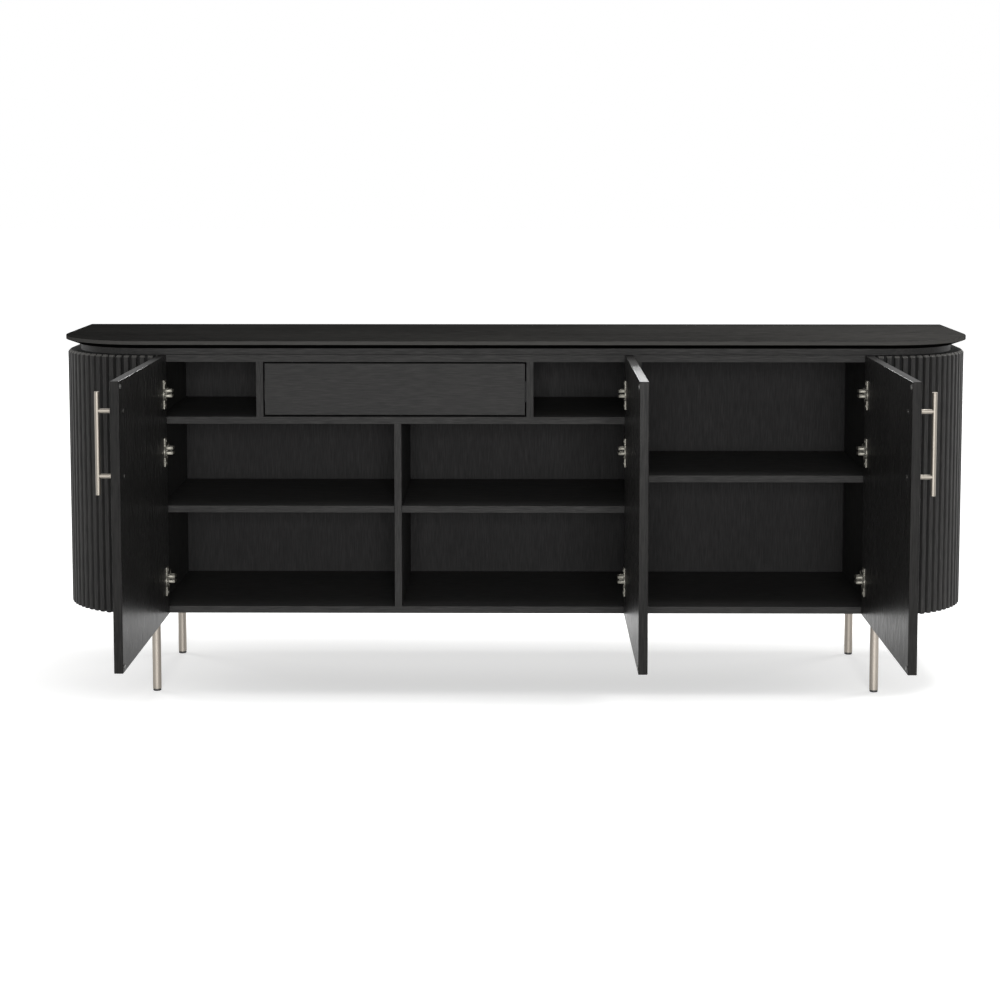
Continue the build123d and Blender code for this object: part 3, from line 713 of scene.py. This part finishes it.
@dataclass
class MetalAndTrim(DressedNodes):
    """Handles, legs, hinges, runners and small trim."""

    steel: tuple = ("hinge_plates", "leg_plates", "shelf_pins")
    runners: tuple = ("drawer_runner_rails", "drawer_runner_sliders", "drawer_runner_members")

    def plan(self) -> dict[str, str]:
        """Finish of every metal and trim node, by node name."""
        finish = {"front_legs": "legs", "back_legs": "legs", "leg_feet": "foot_plastic"}
        finish.update({name: "hinge_steel" for name in self.steel})
        finish.update({name: "runner_steel" for name in self.runners})
        for door in HANDLED_DOORS:
            finish[f"{door}_door_handle_bar"] = "bars"
            finish[f"{door}_door_handle_posts"] = "posts"
        for door in DOORS:
            finish[f"{door}_door_hinge_cups"] = "hinge_steel"
            finish[f"{door}_door_hinge_pins"] = "hinge_steel"
            finish[f"{door}_door_bumpers"] = "bumper"
        return finish


def solid_boxes(node: bpy.types.Object) -> list[tuple[Vector, Vector]]:
    """Boxes of the separate solids of a CAD node.

    Args:
        node: Object of the node, a mesh of loose triangles.

    Returns:
        Lowest and highest corner of each solid, sorted by its lowest corner.
    """
    mesh = node.data
    keys = [tuple(round(c / NEAR) for c in v.co) for v in mesh.vertices]
    leader: dict = {}

    def find(key: tuple) -> tuple:
        """First point of the group that a point belongs to."""
        while leader.setdefault(key, key) != key:
            leader[key] = leader[leader[key]]
            key = leader[key]
        return key

    for polygon in mesh.polygons:
        first = find(keys[polygon.vertices[0]])
        for index in polygon.vertices[1:]:
            leader[find(keys[index])] = first
    groups = defaultdict(list)
    for key, vertex in zip(keys, mesh.vertices):
        groups[find(key)].append(vertex.co)
    boxes = [
        (
            Vector([min(p[i] for p in points) for i in range(3)]),
            Vector([max(p[i] for p in points) for i in range(3)]),
        )
        for points in groups.values()
    ]
    return sorted(boxes, key=lambda box: tuple(round(c, 5) for c in box[0]))


def start_piece(name: str) -> None:
    """Leave nothing selected before a primitive is added, and log the piece.

    Args:
        name: Name of the piece that follows.
    """
    if bpy.context.mode != "OBJECT":
        bpy.ops.object.mode_set(mode="OBJECT")
    bpy.ops.object.select_all(action="DESELECT")
    LOG.info("modelling %s", name)


def select_where(obj: bpy.types.Object, kind: Item, test: Callable[[object], bool]) -> None:
    """Select the faces or edges of an object in edit mode that pass a test.

    Args:
        obj: Object in edit mode.
        kind: What is selected.
        test: Says of one face or edge whether it is selected.
    """
    bpy.ops.mesh.select_mode(type=kind.value)
    bpy.ops.mesh.select_all(action="DESELECT")
    shape = bmesh.from_edit_mesh(obj.data)
    for item in shape.faces if kind is Item.FACE else shape.edges:
        if test(item):
            item.select_set(True)
    bmesh.update_edit_mesh(obj.data)


def settle(obj: bpy.types.Object) -> None:
    """Apply an object's place, turn and size to its mesh and point its faces outwards.

    Args:
        obj: Finished piece.
    """
    bpy.ops.object.select_all(action="DESELECT")
    obj.select_set(True)
    bpy.context.view_layer.objects.active = obj
    bpy.ops.object.transform_apply(location=True, rotation=True, scale=True)
    bpy.ops.object.mode_set(mode="EDIT")
    bpy.ops.mesh.select_all(action="SELECT")
    bpy.ops.mesh.remove_doubles(threshold=0.005 * MM)
    bpy.ops.mesh.normals_make_consistent(inside=False)
    bpy.ops.object.mode_set(mode="OBJECT")
    bpy.ops.object.shade_smooth_by_angle(angle=math.radians(35))


def place_copy(obj: bpy.types.Object, matrix: Matrix) -> bpy.types.Object:
    """Copy a piece with a mesh of its own and move the copy's mesh.

    Args:
        obj: Piece to copy.
        matrix: Place and turn of the copy.

    Returns:
        The copy, with its object at the origin.
    """
    copy = obj.copy()
    copy.data = obj.data.copy()
    bpy.context.scene.collection.objects.link(copy)
    copy.data.transform(matrix)
    if matrix.determinant() < 0:
        copy.data.flip_normals()
    return copy


def join_pieces(pieces: list[bpy.types.Object], name: str) -> bpy.types.Object:
    """Join copies into one piece.

    Args:
        pieces: Objects to join.
        name: Name of the joined piece.

    Returns:
        The joined object.
    """
    bpy.ops.object.select_all(action="DESELECT")
    for piece in pieces:
        piece.select_set(True)
    bpy.context.view_layer.objects.active = pieces[0]
    bpy.ops.object.join()
    joined = pieces[0]
    joined.name = name
    joined.data.name = name
    return joined


@dataclass
class CrossHeadScrew:
    """Screw with a low domed head and a cross recess, drawn head up along Z from its seat."""

    head_radius: float
    head_height: float
    shank_radius: float
    shank_length: float
    sides: int = 24
    dome: float = 0.45
    tip: float = 0.15
    tip_taper: float = 0.3
    recess_width: float = 0.7 * MM
    recess_span: float = 0.62
    recess_depth: float = 0.6

    def build(self, name: str) -> bpy.types.Object:
        """Model the screw.

        Args:
            name: Name of the master piece.

        Returns:
            The screw, seat at the origin.
        """
        start_piece(name)
        bpy.ops.mesh.primitive_cylinder_add(
            vertices=self.sides,
            radius=self.head_radius,
            depth=self.head_height,
            location=(0, 0, self.head_height / 2),
        )
        screw = bpy.context.object
        screw.name = name
        bpy.ops.object.transform_apply(location=True, rotation=False, scale=False)
        bpy.ops.object.mode_set(mode="EDIT")
        top = self.head_height - NEAR
        select_where(screw, Item.EDGE, lambda e: all(v.co.z > top for v in e.verts))
        bpy.ops.mesh.bevel(offset=self.dome * self.head_height, segments=3, affect="EDGES")
        select_where(screw, Item.FACE, lambda f: f.normal.z < -0.9)
        bpy.ops.mesh.inset(thickness=self.head_radius - self.shank_radius)
        for share in (1 - self.tip, self.tip):
            bpy.ops.mesh.extrude_region_move(
                TRANSFORM_OT_translate={"value": (0, 0, -share * self.shank_length)}
            )
        bpy.ops.transform.resize(value=(self.tip_taper, self.tip_taper, 1))
        bpy.ops.object.mode_set(mode="OBJECT")
        self._cut_recess(screw)
        return screw

    def _cut_recess(self, screw: bpy.types.Object) -> None:
        """Sink the cross into the head with two crossed bars.

        Args:
            screw: Screw that takes the recess.
        """
        span = 2 * self.recess_span * self.head_radius
        depth = self.recess_depth * self.head_height
        for turn in (0, 90):
            bpy.ops.object.select_all(action="DESELECT")
            bpy.ops.mesh.primitive_cube_add(size=1, location=(0, 0, self.head_height))
            cutter = bpy.context.object
            cutter.scale = (span, self.recess_width, 2 * depth)
            cutter.rotation_euler = (0, 0, math.radians(turn + 45))
            bpy.ops.object.transform_apply(location=True, rotation=True, scale=True)
            cut = screw.modifiers.new("cross", "BOOLEAN")
            cut.operation = "DIFFERENCE"
            cut.object = cutter
            bpy.context.view_layer.objects.active = screw
            bpy.ops.object.modifier_apply(modifier=cut.name)
            bpy.data.objects.remove(cutter)


def facing(axis: Axis, sign: int) -> Matrix:
    """Turn that lays a piece drawn along Z along another axis.

    Args:
        axis: Axis of the piece in its place.
        sign: 1 to point along the axis, -1 against it.

    Returns:
        The turn.
    """
    if axis is Axis.WIDTH:
        return Matrix.Rotation(math.radians(90 * sign), 4, "Y")
    return Matrix.Rotation(math.radians(0 if sign > 0 else 180), 4, "X")


@dataclass(frozen=True)
class ScrewKind:
    """Sizes and finish of one kind of screw."""

    head_radius: float
    head_height: float
    shank_radius: float
    finish: str


@dataclass
class ScrewSets:
    """All the visible screws, each set standing for one CAD node."""

    frame: dict
    finishes: Finishes
    wood: ScrewKind = ScrewKind(3.5 * MM, 1.0 * MM, 1.75 * MM, "hinge_steel")
    machine: ScrewKind = ScrewKind(4.0 * MM, 1.6 * MM, 2.0 * MM, "dark_screw")

    def build(self) -> None:
        """Model one screw of each kind and set its copies in place of the CAD screws."""
        self._fill("hinge_plate_screws", Axis.WIDTH, "carcass", self.wood)
        self._fill("leg_plate_screws", Axis.HEIGHT, "carcass", self.wood)
        for door in DOORS:
            self._fill(f"{door}_door_cup_screws", Axis.WIDTH, f"{door}_door", self.wood)
        for door in HANDLED_DOORS:
            self._fill(f"{door}_door_handle_screws", Axis.WIDTH, f"{door}_door", self.machine)

    def _fill(self, node: str, axis: Axis, body: str, kind: ScrewKind) -> None:
        """Replace the screws of one CAD node.

        Args:
            node: CAD node with the screws.
            axis: Axis that the screws lie along at rest.
            body: Body that the screws ride on.
            kind: Kind of screw.
        """
        boxes = solid_boxes(self.frame["nodes"][node])
        index = axis.index
        head = kind.head_height
        length = boxes[0][1][index] - boxes[0][0][index] - head
        master = CrossHeadScrew(kind.head_radius, head, kind.shank_radius, length).build(
            f"{node}_master"
        )
        copies = []
        for low, high in boxes:
            sign = self._head_side(node, low, high, index)
            seat = (low + high) / 2
            seat[index] = high[index] - head if sign > 0 else low[index] + head
            copies.append(place_copy(master, Matrix.Translation(seat) @ facing(axis, sign)))
        bpy.data.objects.remove(master)
        piece = join_pieces(copies, f"{node}_cross_head")
        settle(piece)
        dress(piece, self.finishes.get(kind.finish))
        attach(piece, body)
        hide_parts(node)

    def _head_side(self, node: str, low: Vector, high: Vector, index: int) -> int:
        """Side of a CAD screw that its head is on.

        Args:
            node: CAD node with the screw.
            low: Lowest corner of the screw.
            high: Highest corner of the screw.
            index: Number of the axis that the screw lies along.

        Returns:
            1 when the head is at the high end, -1 at the low end.
        """
        across = (index + 1) % 3
        middle = (low[across] + high[across]) / 2
        reach = {1: 0.0, -1: 0.0}
        for vertex in self.frame["nodes"][node].data.vertices:
            point = vertex.co
            if all(low[i] - NEAR <= point[i] <= high[i] + NEAR for i in range(3)):
                side = 1 if point[index] > (low[index] + high[index]) / 2 else -1
                reach[side] = max(reach[side], abs(point[across] - middle))
        return 1 if reach[1] > reach[-1] else -1


@dataclass
class HingeArm:
    """Forked arm of a concealed hinge, drawn at level 0 from a left hinge edge.

    X runs away from the wall, Y into the cabinet and Z up, as on the left door.
    """

    seat: float = 4.5 * MM
    height: float = 14.0 * MM
    half: float = 8.0 * MM
    front: float = 6.0 * MM
    length: float = 50.0 * MM
    wall: float = 1.8 * MM
    slope: float = 0.45
    dish: float = 0.25
    tray_ease: float = 0.7 * MM
    cheek: float = 5.4 * MM
    stock: float = 2.55 * MM
    stock_ease: float = 0.4 * MM
    path: tuple = (
        (9.0, 7.5),
        (26.0, 7.5),
        (30.2, 6.8),
        (32.2, 4.4),
        (32.5, 1.0),
        (32.5, -8.6),
        (31.6, -12.2),
        (28.4, -14.0),
        (9.4, -14.0),
    )
    eye: tuple = (7.25, -14.0)
    eye_radius: float = 2.5 * MM
    pin_radius: float = 1.3 * MM
    eye_sides: int = 28
    adjusters: tuple = ((0.3, 3.4 * MM), (0.62, 2.9 * MM))
    adjuster_head: float = 1.6 * MM
    adjuster_shank: float = 2.0 * MM
    adjuster_sunk: float = 0.3 * MM

    def build(self, name: str) -> bpy.types.Object:
        """Model one arm.

        Args:
            name: Name of the master piece.

        Returns:
            The arm with its fork, eyes and adjusting screws.
        """
        start_piece(name)
        parts = [self._tray(), *self._fork(), *self._adjusters()]
        arm = join_pieces(parts, name)
        settle(arm)
        return arm

    def _tray(self) -> bpy.types.Object:
        """Pressed channel that clips over the mounting plate.

        Returns:
            The channel.
        """
        bpy.ops.mesh.primitive_cube_add(
            size=1,
            location=(self.seat + self.height / 2, self.front + self.length / 2, 0),
            scale=(self.height, self.length, 2 * self.half),
        )
        tray = bpy.context.object
        bpy.ops.object.transform_apply(location=True, rotation=True, scale=True)
        bpy.ops.object.mode_set(mode="EDIT")
        back = self.front + self.length
        outer = self.seat + self.height
        # The far end slopes down to the plate
        select_where(
            tray,
            Item.EDGE,
            lambda e: all(
                abs(v.co.y - back) < NEAR and abs(v.co.x - outer) < NEAR for v in e.verts
            ),
        )
        bpy.ops.transform.translate(value=(-self.slope * self.height, 0, 0))
        select_where(tray, Item.FACE, lambda f: f.normal.x > 0.9)
        bpy.ops.mesh.inset(thickness=self.wall)
        bpy.ops.mesh.extrude_region_move(
            TRANSFORM_OT_translate={"value": (-self.dish * self.height, 0, 0)}
        )
        select_where(
            tray,
            Item.EDGE,
            lambda e: e.is_manifold and e.calc_face_angle() > math.radians(40) and e.is_convex,
        )
        bpy.ops.mesh.bevel(offset=self.tray_ease, segments=2, affect="EDGES")
        bpy.ops.object.mode_set(mode="OBJECT")
        return tray

    def _fork(self) -> list[bpy.types.Object]:
        """Two bent straps round the door edge, each with the eye that takes the pin.

        Returns:
            The straps and eyes.
        """
        pieces = []
        middle = self.half - self.cheek / 2
        for side in (-1, 1):
            pieces.append(self._strap(side * middle))
            pieces.append(self._eye(side * middle))
        return pieces

    def _strap(self, level: float) -> bpy.types.Object:
        """One bent strap.

        Args:
            level: Height of the strap's middle.

        Returns:
            The strap.
        """
        bpy.ops.object.select_all(action="DESELECT")
        first = self.path[0]
        bpy.ops.mesh.primitive_plane_add(size=1, location=(0, 0, 0))
        strap = bpy.context.object
        bpy.ops.object.mode_set(mode="EDIT")
        # A plane is cut down to its first edge, which is then pulled along the path
        select_where(strap, Item.FACE, lambda f: True)
        bpy.ops.mesh.delete(type="ONLY_FACE")
        shape = bmesh.from_edit_mesh(strap.data)
        for edge in list(shape.edges):
            if not all(v.co.x > 0 for v in edge.verts):
                shape.edges.remove(edge)
        for vertex in list(shape.verts):
            if not vertex.link_edges:
                shape.verts.remove(vertex)
        for vertex in shape.verts:
            up = 1 if vertex.co.y > 0 else -1
            vertex.co = (first[0] * MM, first[1] * MM, level + up * self.cheek / 2)
        bmesh.update_edit_mesh(strap.data)
        bpy.ops.mesh.select_mode(type="EDGE")
        bpy.ops.mesh.select_all(action="SELECT")
        for here, there in zip(self.path, self.path[1:]):
            step = ((there[0] - here[0]) * MM, (there[1] - here[1]) * MM, 0)
            bpy.ops.mesh.extrude_region_move(TRANSFORM_OT_translate={"value": step})
        bpy.ops.object.mode_set(mode="OBJECT")
        thick = strap.modifiers.new("stock", "SOLIDIFY")
        thick.thickness = self.stock
        thick.offset = 0
        ease = strap.modifiers.new("ease", "BEVEL")
        ease.width = self.stock_ease
        ease.segments = 2
        ease.limit_method = "ANGLE"
        ease.angle_limit = math.radians(50)
        for modifier in ("stock", "ease"):
            bpy.ops.object.modifier_apply(modifier=modifier)
        return strap

    def _eye(self, level: float) -> bpy.types.Object:
        """Rolled eye at the end of a strap, open for the pin.

        Args:
            level: Height of the eye's middle.

        Returns:
            The eye.
        """
        bpy.ops.object.select_all(action="DESELECT")
        bpy.ops.mesh.primitive_cylinder_add(
            vertices=self.eye_sides,
            radius=self.eye_radius,
            depth=self.cheek,
            location=(self.eye[0] * MM, self.eye[1] * MM, level),
        )
        eye = bpy.context.object
        bpy.ops.object.transform_apply(location=True, rotation=True, scale=True)
        bpy.ops.object.mode_set(mode="EDIT")
        select_where(eye, Item.FACE, lambda f: abs(f.normal.z) > 0.9)
        bpy.ops.mesh.inset(thickness=self.eye_radius - self.pin_radius)
        bpy.ops.mesh.bridge_edge_loops()
        bpy.ops.object.mode_set(mode="OBJECT")
        return eye

    def _adjusters(self) -> list[bpy.types.Object]:
        """Two cross-head adjusting screws sunk in the channel.

        Returns:
            The screws.
        """
        screws = []
        floor = self.seat + (1 - self.dish) * self.height - self.adjuster_sunk
        for along, radius in self.adjusters:
            screw = CrossHeadScrew(
                radius, self.adjuster_head, 0.5 * radius, self.adjuster_shank
            ).build("hinge_adjuster")
            # Past its middle the channel's floor falls with the sloped end
            drop = 0.6 * self.slope * self.height * max(0.0, along - 0.5)
            place = Vector((floor - drop, self.front + along * self.length, 0))
            screw.data.transform(Matrix.Translation(place) @ facing(Axis.WIDTH, 1))
            screws.append(screw)
        return screws


@dataclass
class HingeArms:
    """The nine hinge arms, in place of the plain CAD ones."""

    frame: dict
    finishes: Finishes
    reach: float = 34.0 * MM

    def build(self) -> None:
        """Model one arm and set its copies where the CAD arms are."""
        master = HingeArm().build("hinge_arm_master")
        sets = defaultdict(list)
        for low, high in solid_boxes(self.frame["nodes"]["hinge_arms"]):
            door = self._door(low, high)
            level = (low.z + high.z) / 2
            back = high.y - (HingeArm.front + HingeArm.length)
            if door == "left":
                edge = high.x - self.reach
                matrix = Matrix.Translation((edge, back, level))
            else:
                edge = low.x + self.reach
                matrix = Matrix.Translation((edge, back, level)) @ Matrix.Scale(-1, 4, (1, 0, 0))
            sets[door].append(place_copy(master, matrix))
        bpy.data.objects.remove(master)
        for door, copies in sets.items():
            piece = join_pieces(copies, f"{door}_hinge_forked_arms")
            dress(piece, self.finishes.get("hinge_steel"))
            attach(piece, "carcass")
            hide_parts("hinge_arms")

    def _door(self, low: Vector, high: Vector) -> str:
        """Door that an arm carries, from its place across the front.

        Args:
            low: Lowest corner of the arm.
            high: Highest corner of the arm.

        Returns:
            "left", "middle" or "right".
        """
        middle = (low.x + high.x) / 2
        ends = {door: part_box(f"{door}_door_hinge_cups") for door in DOORS}
        return min(ends, key=lambda d: abs((ends[d][0].x + ends[d][1].x) / 2 - middle))


@dataclass(frozen=True)
class SoftLamp:
    """Square soft lamp, with its place and aim in metres and its power in watts."""

    name: str
    place: tuple
    aim: tuple
    size: float
    power: float
    spread: float = math.pi

    def build(self) -> None:
        """Add the lamp."""
        data = bpy.data.lights.new(self.name, "AREA")
        data.shape = "SQUARE"
        data.size = self.size
        data.energy = self.power
        data.spread = self.spread
        lamp = bpy.data.objects.new(self.name, data)
        place = Vector(self.place)
        lamp.location = place
        lamp.rotation_euler = (Vector(self.aim) - place).to_track_quat("-Z", "Y").to_euler()
        bpy.context.scene.collection.objects.link(lamp)


@dataclass
class Studio:
    """Pale floor, white surround, soft lamps and the camera.

    The lamps are a key behind the camera, two above the slab and three behind the back.
    """

    frame_px: float = 1000.0
    focal_px: float = 1982.33
    centre_y_px: float = 335.2
    camera_place: tuple = (0.95 * MM, -4187.93 * MM, 1161.24 * MM)
    camera_yaw: float = -0.0079
    camera_pitch: float = math.radians(5.0)
    sensor_mm: float = 36.0
    surround: float = 0.06
    floor_size: float = 60.0
    floor_colour: str = "d4d4d3"
    # The floor's glow drops to floor_lift in a patch round the sideboard: painted shade over its real
    # shadow
    floor_lift: float = 0.455
    shade_reach: tuple = (1.5, 0.45)
    shade_centre_y: float = 0.3
    white_from: float = 0.05
    lamps: tuple = (
        SoftLamp("key_lamp", (0.2, -8.0, 1.3), (0.1, 0.1, 0.4), 2.4, 600.0),
        SoftLamp("top_lamp", (0.0, 0.15, 2.4), (0.0, 0.15, 0.78), 1.5, 6.5, math.radians(90)),
        SoftLamp("right_top_lamp", (1.2, 0.1, 2.1), (1.1, 0.1, 0.78), 0.9, 7.5, math.radians(80)),
        SoftLamp("rear_lamp", (0.0, 8.0, 1.0), (0.0, 0.2, 0.4), 2.4, 320.0),
        SoftLamp("left_back_lamp", (-5.5, 3.2, 1.8), (-0.6, 0.2, 0.4), 2.4, 130.0),
        SoftLamp("right_back_lamp", (5.5, 3.2, 1.8), (0.6, 0.2, 0.4), 2.4, 150.0),
    )

    def build(self) -> None:
        """Set the world, the floor, the lamps and the camera."""
        bpy.context.scene.view_settings.view_transform = "Standard"
        self._world()
        self._floor()
        for lamp in self.lamps:
            lamp.build()
        self._camera()

    def _world(self) -> None:
        """White to the eye and in reflections, and a plain grey as a light."""
        world = bpy.data.worlds.new("studio_surround")
        bpy.context.scene.world = world
        world.use_nodes = True
        tree = world.node_tree
        tree.nodes.clear()
        strength = add_node(
            tree,
            "ShaderNodeMapRange",
            {"To Min": self.surround, "To Max": 1.0},
            {"Value": self._seen(tree)},
        )
        light = add_node(
            tree,
            "ShaderNodeBackground",
            {"Color": (1, 1, 1, 1)},
            {"Strength": strength.outputs["Result"]},
        )
        add_node(tree, "ShaderNodeOutputWorld", links={"Surface": light.outputs[0]})

    def _seen(self, tree: bpy.types.NodeTree) -> bpy.types.NodeSocket:
        """One for rays from the eye, a mirror or glass, and nought for light on the object.

        Args:
            tree: Node tree that takes the nodes.

        Returns:
            Socket with the value.
        """
        ray = add_node(tree, "ShaderNodeLightPath")
        direct = add_node(
            tree,
            "ShaderNodeMath",
            links={0: ray.outputs["Is Camera Ray"], 1: ray.outputs["Is Glossy Ray"]},
            operation="MAXIMUM",
        )
        every = add_node(
            tree,
            "ShaderNodeMath",
            links={0: direct.outputs[0], 1: ray.outputs["Is Transmission Ray"]},
            operation="MAXIMUM",
        )
        return every.outputs[0]

    def _floor(self) -> None:
        """Pale floor that keeps the shadow, with painted shade: its glow is lower in a patch under the
        sideboard, and it runs out to white.
        """
        start_piece("studio_floor")
        bpy.ops.mesh.primitive_plane_add(size=self.floor_size, location=(0, 0, 0))
        floor = bpy.context.object
        floor.name = "studio_floor"
        material = bpy.data.materials.new("pale_studio_floor")
        material.use_nodes = True
        tree = material.node_tree
        tree.nodes.clear()
        paint = add_node(tree, "ShaderNodeBsdfDiffuse", {"Color": linear(self.floor_colour)})
        coordinates = add_node(tree, "ShaderNodeTexCoord")
        spread = add_node(
            tree,
            "ShaderNodeMapping",
            {
                "Location": (0.0, -self.shade_centre_y / self.shade_reach[1], 0.0),
                "Scale": (1 / self.shade_reach[0], 1 / self.shade_reach[1], 1.0),
            },
            {"Vector": coordinates.outputs["Object"]},
        )
        # Squared sides give the patch of painted shade, where the floor glows less, the outline of a
        # rounded rectangle
        squared = add_node(
            tree,
            "ShaderNodeVectorMath",
            links={0: spread.outputs["Vector"], 1: spread.outputs["Vector"]},
            operation="MULTIPLY",
        )
        away = add_node(
            tree,
            "ShaderNodeVectorMath",
            links={0: squared.outputs["Vector"]},
            operation="LENGTH",
        )
        white = add_node(
            tree,
            "ShaderNodeMapRange",
            {
                "From Min": self.white_from,
                "From Max": 1.0,
                "To Min": self.floor_lift,
                "To Max": 1.0,
            },
            {"Value": away.outputs["Value"]},
            interpolation_type="SMOOTHSTEP",
        )
        lift = add_node(
            tree,
            "ShaderNodeMath",
            links={0: self._seen(tree), 1: white.outputs["Result"]},
            operation="MULTIPLY",
        )
        glow = add_node(
            tree, "ShaderNodeEmission", {"Color": (1, 1, 1, 1)}, {"Strength": lift.outputs[0]}
        )
        both = add_node(
            tree, "ShaderNodeAddShader", links={0: paint.outputs[0], 1: glow.outputs[0]}
        )
        add_node(tree, "ShaderNodeOutputMaterial", links={"Surface": both.outputs[0]})
        floor.data.materials.append(material)

    def _camera(self) -> None:
        """Camera at the photograph's place, looking down a little, with its frame shifted."""
        data = bpy.data.cameras.new("front_camera")
        data.sensor_width = self.sensor_mm
        data.lens = self.focal_px * self.sensor_mm / self.frame_px
        data.shift_y = (self.centre_y_px - self.frame_px / 2) / self.frame_px
        data.dof.use_dof = False
        camera = bpy.data.objects.new("front_camera", data)
        camera.location = self.camera_place
        camera.rotation_euler = (math.radians(90) - self.camera_pitch, 0, -self.camera_yaw)
        bpy.context.scene.collection.objects.link(camera)
        bpy.context.scene.camera = camera


def main() -> None:
    """Load the frame, dress every node, model the hardware and set the studio."""
    logging.basicConfig(level=logging.INFO, format="%(message)s")
    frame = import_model()
    finishes = Finishes(
        slat_top=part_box("left_end_slats")[1][2],
        slab_top=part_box("top_slab")[1][2],
        door_top=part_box("left_door_panel")[1][2],
    )
    OakCarcass(frame, finishes).dress()
    MetalAndTrim(frame, finishes).dress()
    ScrewSets(frame, finishes).build()
    HingeArms(frame, finishes).build()
    Studio().build()


if __name__ == "__main__":
    main()
